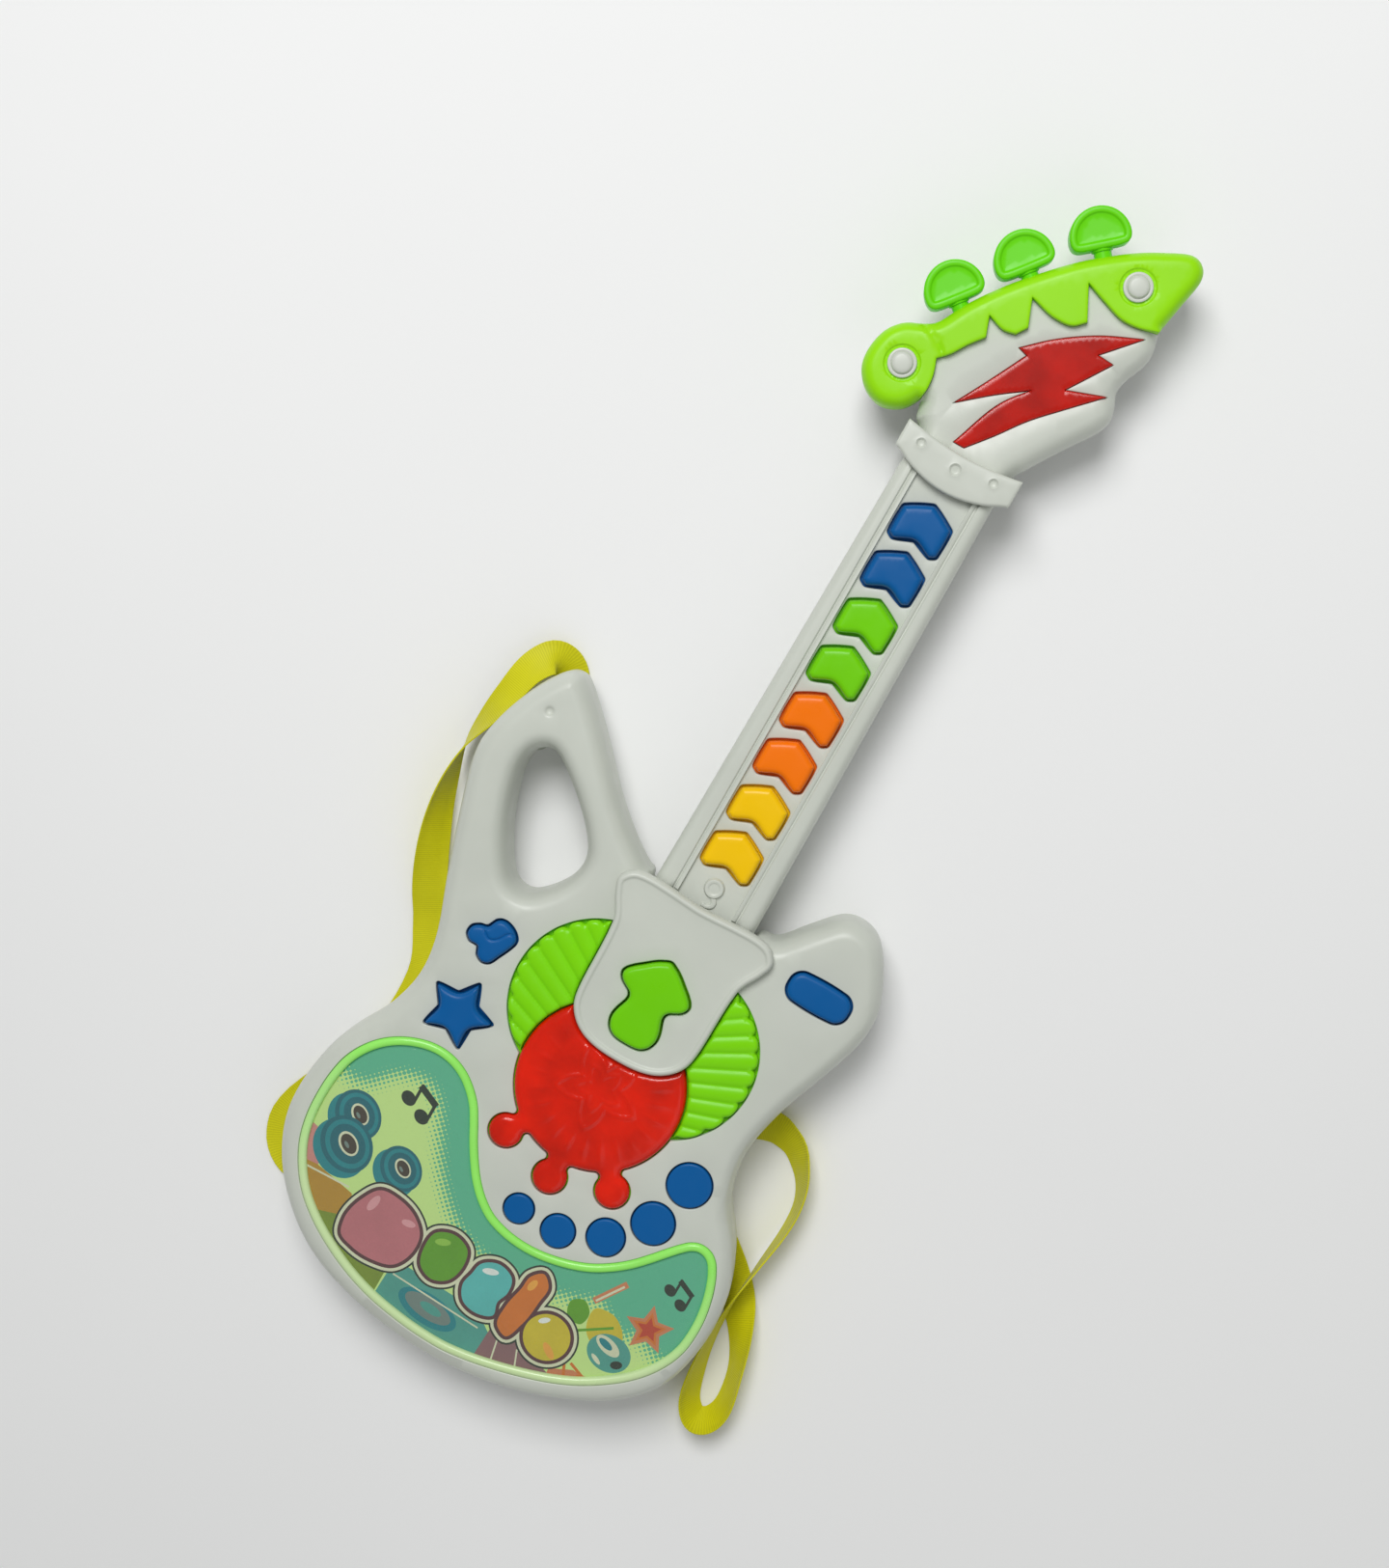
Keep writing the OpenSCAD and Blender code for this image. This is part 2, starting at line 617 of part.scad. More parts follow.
// Lime rim that holds the cover down
module panel_rim() {
    color(lime) difference() {
        rise(face_z - 1.6, rounding(face_z + 0.7, 0.6, 0.6, 2)) panel_2d();
        translate([0, 0, face_z - 3]) linear_extrude(6) offset(delta = -rim_w) panel_2d();
        translate([0, 0, face_z - 3]) linear_extrude(2) offset(delta = -rim_w + 0.6) panel_2d();
    }
}

// Clear glossy cover over the picture
module panel_cover() {
    color([0.8, 0.95, 0.9, 0.5]) rise(face_z - 1.1, rounding(face_z + 0.5, 0.6, 1, 2))
        offset(delta = -rim_w - 0.1) panel_2d();
}

// Main circuit board under the body buttons
module main_board() {
    color(board_green) difference() {
        translate([0, 0, board_z]) linear_extrude(1.6) main_board_2d();
        at_each(case_screw_at, board_z - 1) cylinder(r = 4, h = 4);
    }
    color(dark) at_each([[-10, -30], [24, 14]], board_z - 1.8) linear_extrude(1.7)
        square([9, 7], center = true);
}
module main_board_2d() {
    polygon([
        [-70, -12], [-70, 34], [-30, 34], [-20, 50], [20, 50], [30, 34], [40, 4], [53, 4],
        [53, -38], [34, -58], [-12, -58], [-14, -36], [-44, -36], [-50, -14]
    ]);
}

// Small board under the oblong button in the short horn
module horn_board() {
    color(board_green) translate([pill_at[0] - 13, pill_at[1] - 8, board_z]) cube([26, 15, 1.6]);
}

// Long board under the keys
module neck_board() {
    color(board_green) translate([-12, 86, 17]) cube([24, 148, 1.6]);
}

// Board behind the lightning bolt
module bolt_board() {
    color(board_green) translate([-4, 272, board_z]) cube([22, 24, 1.6]);
}

// Rubber mat with a dome under each body button
module button_mat() {
    color(rubber) difference() {
        union() {
            translate([0, 0, mat_z]) linear_extrude(0.8) offset(delta = -1) main_board_2d();
            at_each([star_at, [-58, 26], [0, 36]], mat_z) cylinder(r = 3.6, h = cap_dome_h);
            at_each(dots, mat_z) cylinder(r = 3.6, h = cap_dome_h);
        }
        at_each(led_at, mat_z - 1) cylinder(r = 3.2, h = 4);
        at_each(case_screw_at, mat_z - 1) cylinder(r = 4, h = 4);
    }
}

// Rubber pad under the oblong button
module horn_mat() {
    color(rubber) translate([pill_at[0], pill_at[1], mat_z]) {
        translate([-12, -5, 0]) cube([24, 10, 0.8]);
        for (s = [-1, 1]) translate([s * 6, 0, 0]) cylinder(r = 3.6, h = cap_dome_h);
    }
}

// Rubber strip with a dome under each key
module key_mat() {
    color(rubber) {
        translate([-10, 88, key_mat_z]) cube([20, 144, 1]);
        for (i = [1:keys]) translate([0, key_y(i), key_mat_z]) cylinder(r = 4, h = key_dome_h);
    }
}

// Light-emitting diodes on the boards, behind the red lenses
module leds() {
    color([1, 0.9, 0.8]) {
        at_each(led_at, board_z + 1.7) cylinder(r = 2.5, h = 3);
        translate([6, 285, board_z + 1.7]) cylinder(r = 2.2, h = 2.5);
    }
}

// Loudspeaker: basket, paper cone and magnet
module speaker_frame() {
    color(dark) translate([speaker_at[0], speaker_at[1], back_in + 0.2]) difference() {
        union() {
            cylinder(r = speaker_r, h = 2.2, $fn = 64);
            cylinder(r = 14, h = 6.6, $fn = 64);
        }
        translate([0, 0, -1]) cylinder(r = speaker_r - 3, h = 2.4, $fn = 64);
        translate([0, 0, -1]) cylinder(r = 12, h = 6.4, $fn = 64);
    }
}
module speaker_cone() {
    color([0.3, 0.28, 0.25]) translate([speaker_at[0], speaker_at[1], back_in + 0.3]) difference() {
        union() {
            cylinder(r = 11.8, h = 3.4, $fn = 64);
            cylinder(r = speaker_r - 3.2, h = 0.6, $fn = 64);
        }
        translate([0, 0, -1]) cylinder(r = 10.6, h = 3.6, $fn = 64);
    }
}
module speaker_magnet() {
    color(steel) translate([speaker_at[0], speaker_at[1], back_in + 6.9])
        cylinder(r = 11, h = 5, $fn = 64);
}

// Tray that holds three AA cells side by side
module battery_tray() {
    inner = [tray_size[0] - 2, tray_size[1] - 2];
    color(white) translate([tray_at[0], tray_at[1], back_in + 0.2]) difference() {
        translate([0, 0, 8]) cube([tray_size[0] + 2, tray_size[1] + 2, 16], center = true);
        translate([0, 0, 7]) cube([inner[0], inner[1], 16], center = true);
    }
}
module batteries() {
    for (i = [-1:1]) translate([tray_at[0], tray_at[1] + i * 15, back_in + 7.6]) rotate([0, 90, 0]) {
        color(steel) cylinder(r = battery_r, h = battery_l - 1.5, center = true, $fn = 48);
        color(steel) translate([0, 0, (i == 0 ? -1 : 1) * (battery_l / 2 - 0.8)])
            cylinder(r = 2.7, h = 1.8, center = true);
    }
}
// Spring plates at the ends of the cells
module battery_contacts() {
    color(steel) for (i = [-1:1], s = [-1, 1])
        translate([tray_at[0] + s * (battery_l / 2 + 2.6), tray_at[1] + i * 15, back_in + 7.6])
            rotate([0, 90, 0]) {
                cube([11, 11, 0.5], center = true);
                translate([0, 0, -s * 0.8]) cylinder(r = 3, h = 1.4, center = true);
            }
}

// Battery door, which swings on the bead along its upper edge
module battery_door() {
    edge = door_size / 2;
    color(white) difference() {
        union() {
            translate([tray_at[0] - edge[0], tray_at[1] - edge[1], 0.6])
                cube([door_size[0], door_size[1] - 0.4, 2]);
            translate([tray_at[0], hinge_y, hinge_z]) rotate([0, 90, 0]) {
                cylinder(r = 1.6, h = 46, center = true);
                cylinder(r = 1.2, h = door_size[0] + 6, center = true);
            }
            translate([tray_at[0], tray_at[1] - edge[1], 0.6]) cylinder(r = 4.4, h = 2);
        }
        translate([tray_at[0], tray_at[1] - edge[1], 0]) cylinder(r = 1.8, h = 6);
        translate([tray_at[0], tray_at[1] - edge[1], 0]) cylinder(r = 3.1, h = 1.4);
    }
}
// Captive screw that keeps the door shut
module door_screw() {
    color(steel) translate([tray_at[0], tray_at[1] - door_size[1] / 2, 0.7]) difference() {
        union() {
            cylinder(r = 2.9, h = 0.6);
            cylinder(r = 1.5, h = 4);
        }
        cube([3.6, 0.8, 0.7], center = true);
        cube([0.8, 3.6, 0.7], center = true);
    }
}

// Cross-head screw standing on its head, length l
module screw(l) {
    difference() {
        union() {
            cylinder(r = 3, h = 1.8);
            cylinder(r = 1.2, h = l);
        }
        cube([4, 0.9, 1.6], center = true);
        cube([0.9, 4, 1.6], center = true);
    }
}
module case_screws() {
    color(steel) at_each(case_screw_at, 7.2) screw(12);
}
module neck_screws() {
    color(steel) for (i = [0:1]) translate([0, neck_screw_at[i], key_floor + 1.2])
        rotate([180, 0, 0]) screw(14 + 2 * i);
}
module tenon_screws() {
    color(steel) for (s = [-1, 1]) translate([s * tenon_screw_x, tenon_screw_y, 6.2]) screw(10);
}

// Sideways and upward directions across the route p at its point i
function across(p, i) =
    let (a = p[max(0, i - 1)], b = p[min(len(p) - 1, i + 1)])
    let (d = [b[0] - a[0], b[1] - a[1], b[2] - a[2]], side = cross([0, 0, 1], d))
    [side / norm(side), cross(d, side) / norm(cross(d, side))];

// Sweep of the section's points along the route p; a point's fourth value is its turn
module sweep(p, section) {
    n = len(section);
    m = len(p);
    points = [for (i = [0:m - 1]) let (f = across(p, i), a = p[i][3]) for (c = section)
        [p[i][0], p[i][1], p[i][2]]
            + f[0] * (c[0] * cos(a) - c[1] * sin(a))
            + f[1] * (c[0] * sin(a) + c[1] * cos(a))];
    sides = [for (i = [0:m - 2], j = [0:n - 1], half = [0:1])
        let (a = i * n + j, b = i * n + (j + 1) % n, c = b + n, d = a + n)
            j < n / 2 ? (half == 0 ? [a, b, c] : [a, c, d]) : (half == 0 ? [a, b, d] : [b, c, d])];
    ends = [[for (j = [n - 1:-1:0]) j], [for (j = [0:n - 1]) (m - 1) * n + j]];
    polyhedron(points, concat(sides, ends));
}

// Thin insulated wire along a hand-laid route
module wire(p) {
    sweep(
        curve([for (q = p) concat(q, [0])]),
        [for (j = [0:5]) wire_r * [cos(60 * j), sin(60 * j)]]);
}
module wiring() {
    color("crimson") {
        wire([[-18, 40, 7.5], [-12, 46, 12], [-4, 48, 17], [4, 47, 20.6]]);
        wire([[-14, -54, 20], [-18, -50, 18], [-22, -42, 18], [-22, -32, 19], [-20, -24, 20.6]]);
        wire([[40, 57, 6], [42, 58, 12], [44, 60, 17], [46, 62, 20.6]]);
    }
    color(dark) {
        wire([[-22, 43, 7.5], [-14, 50, 12], [-4, 51, 20.2], [3, 49.6, 20.6]]);
        wire([[12, -54, 20], [14, -50, 18], [16, -44, 18], [16, -38, 20.6]]);
    }
}

// Yellow ribbon strap
module strap() {
    color(ribbon_yellow) sweep(curve(strap_route, 2), [
        [-ribbon_w / 2, -ribbon_t / 2], [ribbon_w / 2, -ribbon_t / 2],
        [ribbon_w / 2, ribbon_t / 2], [-ribbon_w / 2, ribbon_t / 2]
    ]);
}

// Clips that hold the two ends of the ribbon to the back
module strap_clips() {
    last = len(strap_route) - 1;
    clip(strap_route[0], strap_route[1]);
    clip(strap_route[last], strap_route[last - 1]);
}
module clip(end, next) {
    heading = atan2(next[1] - end[1], next[0] - end[0]);
    color(dark) translate([end[0], end[1], 0]) rotate(heading) difference() {
        translate([-6, -8, 0.3]) cube([7.5, 16, 1.6]);
        translate([-4, 0, -1]) cylinder(r = 1.2, h = 5);
    }
}

// One sound key, with its rubber-facing flange below the channel floor
module key(i) {
    colours = [blue, blue, green, green, orange, orange, yellow, yellow];
    color(colours[i - 1]) translate([0, key_y(i), 0]) {
        translate([0, 0, key_flange_z]) linear_extrude(1.9) offset(delta = 1.2) key_2d();
        rise(key_roof - 1, rounding(key_floor + 3.2, 1.4, 1.6, 2)) key_2d();
    }
}

// Button: flange under the front shell, and a cap that stands h above the face
module button(h, inset) {
    translate([0, 0, cap_flange_z]) linear_extrude(2.4) offset(delta = 1.1) children();
    rise(face_in - 1, rounding(face_z + h, min(h + 0.6, 1.2), inset, 2)) children();
}
module note_button() {
    color(blue) button(2, 1.2) note_2d();
}
module star_button() {
    color(blue) button(2.4, 1.6) star_2d();
}
module pill_button() {
    color(blue) button(1.4, 1.4) pill_2d();
}
module dot(i) {
    d = dots[i - 1];
    color(blue) translate([d[0], d[1], 0]) button(0.5, 0.6) circle(d[2], $fn = 48);
}
module arrow_button() {
    color(green) {
        rise(face_z + 1.8, rounding(face_z + 6.4, 1.4, 1.4, 2)) arrow_2d();
        translate([0, 36, cap_flange_z]) cylinder(r = 4.4, h = 8);
    }
}

// Tuning peg: half-round knob on a shaft that turns in the crest
module peg(i) {
    at = pegs[i - 1][0];
    color(green) translate([at[0], at[1], axle_z]) rotate(pegs[i - 1][1]) {
        translate([-5.6, 0, 0]) rotate([0, 90, 0]) cylinder(r = 3, h = 6.6);
        translate([-5.6, 0, 0]) rotate([0, 90, 0]) cylinder(r = 4, h = 1.2);
        translate([0, 0, -knob_t / 2]) linear_extrude(knob_t) intersection() {
            translate([knob_cut, 0]) circle(knob_r, $fn = 64);
            translate([0, -knob_r]) square(2 * knob_r);
        }
    }
}

// Slide switch knob in the back
module power_switch() {
    color(dark) translate([switch_at[0], switch_at[1], 0]) {
        translate([-3.3, -2.1, 0.8]) cube([6.6, 4.2, 5.2]);
        translate([-8, -4.5, back_in + 0.4]) cube([18, 9, 1.6]);
    }
}

front_shell();
back_shell();
neck_front();
neck_back();
head_front();
head_back();
head_crest();
crest_studs();
collar();
bolt_lens();
neck_plate();
wing_disc();
splash_lens();
art_panel();
panel_rim();
panel_cover();
main_board();
horn_board();
neck_board();
bolt_board();
button_mat();
horn_mat();
key_mat();
leds();
speaker_frame();
speaker_cone();
speaker_magnet();
battery_tray();
batteries();
battery_contacts();
battery_door();
door_screw();
case_screws();
neck_screws();
tenon_screws();
wiring();
strap();
strap_clips();
key(1);  // key_1
key(2);  // key_2
key(3);  // key_3
key(4);  // key_4
key(5);  // key_5
key(6);  // key_6
key(7);  // key_7
key(8);  // key_8
note_button();
star_button();
arrow_button();
pill_button();
dot(1);  // dot_1
dot(2);  // dot_2
dot(3);  // dot_3
dot(4);  // dot_4
dot(5);  // dot_5
peg(1);  // peg_1
peg(2);  // peg_2
peg(3);  // peg_3
power_switch();
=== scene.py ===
"""Looks of a toy electric guitar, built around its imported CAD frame.

The guitar lies on its back: +Z out of the front, +Y along the neck to the head. Outlines
are cut out of the CAD nodes. Shapes are worked out in millimetres and made in metres.
"""

import json
import math

import bmesh
import bpy
import numpy as np
from mathutils import Matrix, Vector, geometry, kdtree


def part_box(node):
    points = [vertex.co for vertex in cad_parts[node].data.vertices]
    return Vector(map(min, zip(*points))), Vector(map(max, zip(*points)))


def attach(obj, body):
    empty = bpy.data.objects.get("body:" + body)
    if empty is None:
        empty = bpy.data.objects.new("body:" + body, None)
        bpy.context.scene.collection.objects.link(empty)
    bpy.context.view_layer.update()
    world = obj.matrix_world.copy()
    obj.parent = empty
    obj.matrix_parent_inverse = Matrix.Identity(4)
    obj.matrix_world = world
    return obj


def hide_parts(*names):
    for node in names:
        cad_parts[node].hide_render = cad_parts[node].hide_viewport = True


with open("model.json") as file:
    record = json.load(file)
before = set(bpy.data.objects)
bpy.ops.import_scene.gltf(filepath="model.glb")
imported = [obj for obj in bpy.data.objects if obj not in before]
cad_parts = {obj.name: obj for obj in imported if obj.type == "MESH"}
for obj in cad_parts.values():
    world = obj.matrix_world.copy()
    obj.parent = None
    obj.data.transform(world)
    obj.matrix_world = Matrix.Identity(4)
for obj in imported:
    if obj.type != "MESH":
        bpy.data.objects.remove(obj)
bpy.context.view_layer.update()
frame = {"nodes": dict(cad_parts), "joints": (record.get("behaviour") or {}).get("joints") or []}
MM = 0.001


def add_object(name, data):
    """New object in the scene."""
    made = bpy.data.objects.new(name, data)
    bpy.context.collection.objects.link(made)
    return made


def add_mesh(name, points, faces, material, sharp):
    """New object of a smooth mesh, creased where faces meet at more than sharp degrees."""
    mesh = bpy.data.meshes.new(name)
    mesh.from_pydata(points, [], faces)
    bm = bmesh.new()
    bm.from_mesh(mesh)
    bmesh.ops.recalc_face_normals(bm, faces=bm.faces)
    bm.to_mesh(mesh)
    bm.free()
    mesh.materials.append(material)
    mesh.shade_smooth()
    mesh.set_sharp_from_angle(angle=math.radians(sharp))
    return add_object(name, mesh)


# ---------------- camera and strap


def make_camera():
    """Camera above the neck, turned so that the neck leans to the right."""
    place = Vector((0.0008, 0.2024, 0.7797))
    target = Vector((-0.0240, 0.1098, 0.0320))
    lean = math.radians(29.7)
    ahead = (target - place).normalized()
    neck_up = (Vector((0, 1, 0)) - ahead * ahead.y).normalized()
    neck_right = ahead.cross(neck_up)
    right = neck_right * math.cos(lean) + neck_up * math.sin(lean)
    up = neck_up * math.cos(lean) - neck_right * math.sin(lean)
    camera = add_object("camera", bpy.data.cameras.new("camera"))
    camera.matrix_world = Matrix.Translation(place) @ Matrix((right, up, -ahead)).transposed().to_4x4()
    camera.data.lens = 50
    camera.data.sensor_width = 36
    bpy.context.scene.camera = camera


# Route of the ribbon, from its clip at the horn to its clip by the waist: x, y, z and the
# turn about its own length in degrees
STRAP_ROUTE = [
    (-0.0805, 0.1120, 0.0011, 0), (-0.0830, 0.1182, 0.0014, 3), (-0.0872, 0.1212, 0.0036, 8),
    (-0.0918, 0.1203, 0.0070, 14), (-0.0962, 0.1130, 0.0094, 26), (-0.0986, 0.1020, 0.0112, 38),
    (-0.1011, 0.0905, 0.0120, 56), (-0.1032, 0.0790, 0.0119, 80), (-0.1024, 0.0660, 0.0110, 106),
    (-0.0998, 0.0520, 0.0094, 128), (-0.0955, 0.0380, 0.0070, 150), (-0.0903, 0.0250, 0.0042, 168),
    (-0.0840, 0.0130, 0.0017, 177), (-0.0765, -0.0060, 0.0010, 180), (-0.0785, -0.0350, 0.0010, 180),
    (-0.0940, -0.0700, 0.0010, 180), (-0.0940, -0.0840, 0.0010, 180), (-0.0860, -0.0915, 0.0010, 180),
    (-0.0750, -0.0900, 0.0010, 180), (-0.0640, -0.0790, 0.0010, 180), (-0.0360, -0.0410, 0.0010, 180),
    (0.0100, -0.0150, 0.0010, 180), (0.0540, 0.0090, 0.0011, 184), (0.0690, 0.0110, 0.0038, 212),
    (0.0780, 0.0040, 0.0058, 238), (0.0830, -0.0060, 0.0067, 256), (0.0840, -0.0180, 0.0076, 264),
    (0.0820, -0.0360, 0.0093, 272), (0.0805, -0.0540, 0.0091, 281), (0.0810, -0.0710, 0.0075, 290),
    (0.0836, -0.0860, 0.0064, 300), (0.0866, -0.0935, 0.0062, 302), (0.0913, -0.0970, 0.0062, 302),
    (0.0958, -0.0942, 0.0062, 300), (0.0974, -0.0865, 0.0063, 297), (0.0945, -0.0730, 0.0063, 296),
    (0.0890, -0.0600, 0.0050, 318), (0.0820, -0.0500, 0.0013, 354), (0.0730, -0.0410, 0.0010, 360),
    (0.0600, -0.0310, 0.0010, 360),
]
STRAP_WIDTH = 0.0127
STRAP_THICKNESS = 0.0006


def smooth_route(points, steps):
    """Catmull-Rom curve through the points."""
    p = [np.array(q, float) for q in points]
    p = [2 * p[0] - p[1]] + p + [2 * p[-1] - p[-2]]
    out = []
    for a, b, c, d in zip(p, p[1:], p[2:], p[3:]):
        for t in np.arange(steps) / steps:
            bend = 2 * a - 5 * b + 4 * c - d + t * (3 * b - a - 3 * c + d)
            out.append(b + 0.5 * t * (c - a + t * bend))
    return np.array(out + [p[-2]])


def make_strap(material):
    """Ribbon with slightly thicker edges, swept along its route."""
    route = smooth_route(STRAP_ROUTE, 5)
    half, thick = STRAP_WIDTH / 2, STRAP_THICKNESS / 2
    top = [(s * half, h * thick) for s, h in
           ((-1, 0.55), (-0.985, 1), (-0.9, 1), (-0.86, 0.72), (-0.4, 0.72), (0, 0.72),
            (0.4, 0.72), (0.86, 0.72), (0.9, 1), (0.985, 1), (1, 0.55))]
    outline = top + [(s, -h) for s, h in reversed(top)]
    points, uvs, along = [], [], 0.0
    for i, q in enumerate(route):
        before, after = route[max(0, i - 1)], route[min(len(route) - 1, i + 1)]
        ahead = Vector(after[:3] - before[:3]).normalized()
        side = Vector((0, 0, 1)).cross(ahead).normalized()
        up = ahead.cross(side).normalized()
        turn = math.radians(q[3])
        across = side * math.cos(turn) + up * math.sin(turn)
        proud = up * math.cos(turn) - side * math.sin(turn)
        if i:
            along += float(np.linalg.norm(q[:3] - route[i - 1][:3]))
        for s, h in outline:
            points.append(Vector(q[:3]) + across * s + proud * h)
            uvs.append((along, s))
    n = len(outline)
    faces = [(i * n + j, (i + 1) * n + j, (i + 1) * n + (j + 1) % n, i * n + (j + 1) % n)
             for i in range(len(route) - 1) for j in range(n)]
    faces += [tuple(range(n)), tuple((len(route) - 1) * n + j for j in range(n - 1, -1, -1))]
    ribbon = add_mesh("strap_ribbon", points, faces, material, 50)
    layer = ribbon.data.uv_layers.new(name="UVMap")
    for loop in ribbon.data.loops:
        layer.data[loop.index].uv = uvs[loop.vertex_index]
    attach(ribbon, "guitar")
    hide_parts("strap")


# ---------------- outlines, in millimetres


def area(p):
    x, y = p[:, 0], p[:, 1]
    return 0.5 * float(np.sum(x * np.roll(y, -1) - np.roll(x, -1) * y))


def tidy(p):
    """Drops doubled points and points on straight stretches; anticlockwise."""
    gap = np.linalg.norm(p - np.roll(p, 1, 0), axis=1)
    p = p[gap > 0.04]
    ahead, behind = np.roll(p, -1, 0) - p, p - np.roll(p, 1, 0)
    turn = ahead[:, 0] * behind[:, 1] - ahead[:, 1] * behind[:, 0]
    turn /= np.linalg.norm(ahead, axis=1) * np.linalg.norm(behind, axis=1)
    p = p[np.abs(turn) > 0.004]
    return p if area(p) > 0 else p[::-1]


def section(node, z):
    """Outlines in which the plane at height z cuts a CAD node, the largest first."""
    bm = bmesh.new()
    bm.from_mesh(frame["nodes"][node].data)
    bmesh.ops.remove_doubles(bm, verts=bm.verts, dist=2e-6)
    bmesh.ops.bisect_plane(
        bm, geom=bm.verts[:] + bm.edges[:] + bm.faces[:], plane_co=(0, 0, z * MM),
        plane_no=(0, 0, 1), clear_inner=True, clear_outer=True)
    found, seen = [], set()
    for first in bm.verts:
        line, ways = [], [first]
        while ways := [v for v in ways if v not in seen]:
            line.append(ways[0])
            seen.add(ways[0])
            ways = [e.other_vert(ways[0]) for e in ways[0].link_edges]
        if len(line) > 3:
            outline = tidy(np.array([v.co[:2] for v in line]) / MM)
            if len(outline) > 2:
                found.append(outline)
    bm.free()
    return sorted(found, key=area, reverse=True)


def z_range(node):
    """Heights of a CAD node's lowest and highest points."""
    return [v.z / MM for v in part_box(node)]


def inside(p, loops):
    """True for each point that lies in an odd number of the loops."""
    order = np.argsort(p[:, 1])
    x, y = p[order, 0], p[order, 1]
    odd = np.zeros(len(p), bool)
    for loop in loops:
        after = np.roll(loop, -1, 0)
        first = np.searchsorted(y, np.minimum(loop[:, 1], after[:, 1]))
        last = np.searchsorted(y, np.maximum(loop[:, 1], after[:, 1]))
        for a, b, i, j in zip(loop, after, first, last):
            if i < j:
                odd[i:j] ^= x[i:j] < a[0] + (y[i:j] - a[1]) * (b[0] - a[0]) / (b[1] - a[1])
    out = np.empty(len(p), bool)
    out[order] = odd
    return out


class Edge:
    """The sides of closed outlines, to measure distances from."""

    def __init__(self, loops, keep=None):
        start = np.concatenate(loops)
        after = np.concatenate([np.roll(q, -1, 0) for q in loops])
        before = np.concatenate([np.roll(q, 1, 0) for q in loops])
        kept = np.ones(len(start), bool) if keep is None else keep(start)
        self.points, self.after, self.before = start[kept], after[kept], before[kept]
        self.tree = kdtree.KDTree(len(self.points))
        for i, q in enumerate(self.points):
            self.tree.insert((q[0], q[1], 0), i)
        self.tree.balance()

    def distance(self, p):
        """Distance from each point to the nearest side."""
        near = np.array([self.tree.find((q[0], q[1], 0))[1] for q in p], int)
        out = np.full(len(p), np.inf)
        start = self.points[near]
        for end in (self.after[near], self.before[near]):
            step, off = end - start, p - start
            t = np.clip((off * step).sum(1) / np.maximum((step ** 2).sum(1), 1e-12), 0, 1)
            out = np.minimum(out, np.linalg.norm(off - t[:, None] * step, axis=1))
        return out

    def bulge(self, p, r, h=None):
        """How far a rounded edge along the sides lies below its face at each point."""
        return bulge(self.distance(p), r, h)


def smooth(loop, step=0.8, corner=38):
    """Evenly spaced points on a smooth curve through the loop, with its corners kept."""
    ahead = np.roll(loop, -1, 0) - loop
    turn = np.degrees(np.arctan2(ahead[:, 1], ahead[:, 0]))
    turn = np.abs((turn - np.roll(turn, 1) + 180) % 360 - 180)
    corners = np.flatnonzero(turn > corner)
    if len(corners):
        loop = np.roll(loop, -corners[0], 0)
        corners = [int(c - corners[0]) for c in corners] + [len(loop)]
        runs = [np.take(loop, range(a, b + 1), axis=0, mode="wrap")
                for a, b in zip(corners, corners[1:])]
        runs = [np.vstack([2 * r[:1] - r[1:2], r, 2 * r[-1:] - r[-2:-1]]) for r in runs]
    else:
        runs = [np.take(loop, range(-1, len(loop) + 2), axis=0, mode="wrap")]
    out = []
    for r in runs:
        h = np.linalg.norm(np.diff(r, axis=0), axis=1)
        slope = [(r[i + 1] - r[i]) / h[i] * (h[i - 1] / (h[i - 1] + h[i]))
                 + (r[i] - r[i - 1]) / h[i - 1] * (h[i] / (h[i - 1] + h[i]))
                 for i in range(1, len(r) - 1)]
        for i in range(1, len(r) - 2):
            t = np.arange(n := max(1, round(h[i] / step)))[:, None] / n
            a, b, u, v = r[i], r[i + 1], slope[i - 1] * h[i], slope[i] * h[i]
            out.append(a + u * t + (3 * (b - a) - 2 * u - v) * t ** 2 + (2 * (a - b) + u + v) * t ** 3)
    return np.concatenate(out)


def trace(node, z, step=0.8, corner=38):
    """Smooth outline of a CAD node at height z, the largest of several."""
    return smooth(section(node, z)[0], step, corner)


def grown(loop, d):
    """The loop with each point moved out by d."""
    step = np.roll(loop, -1, 0) - np.roll(loop, 1, 0)
    step /= np.linalg.norm(step, axis=1)[:, None]
    return loop + d * np.stack([step[:, 1], -step[:, 0]], 1)


def soften(loop, times):
    """The loop with its corners rounded by averaging each point with its neighbours."""
    for _ in range(times):
        loop = (np.roll(loop, 1, 0) + 2 * loop + np.roll(loop, -1, 0)) / 4
    return loop


def longest_run(loop, kept):
    """The longest unbroken run of the loop's kept points."""
    start = int(np.flatnonzero(~kept)[0])
    loop, kept = np.roll(loop, -start, 0), np.roll(kept, -start)
    ends = np.flatnonzero(np.diff(np.concatenate([[0], kept.astype(int), [0]])))
    a, b = max(zip(ends[::2], ends[1::2]), key=lambda run: run[1] - run[0])
    return loop[a:b]


def without(loop, other):
    """The loop less the area that another one cuts off along one side of it."""
    return np.vstack([longest_run(loop, ~inside(loop, [other])),
                      longest_run(other, inside(other, [loop]))[::-1]])


def away(p, line):
    """Distance from each point to the nearest point of the line."""
    return np.min([np.hypot(p[:, 0] - x, p[:, 1] - y) for x, y in line], axis=0)


def circle(x, y, r, n=48):
    t = np.arange(n) * 2 * math.pi / n
    return np.stack([x + r * np.cos(t), y + r * np.sin(t)], 1)


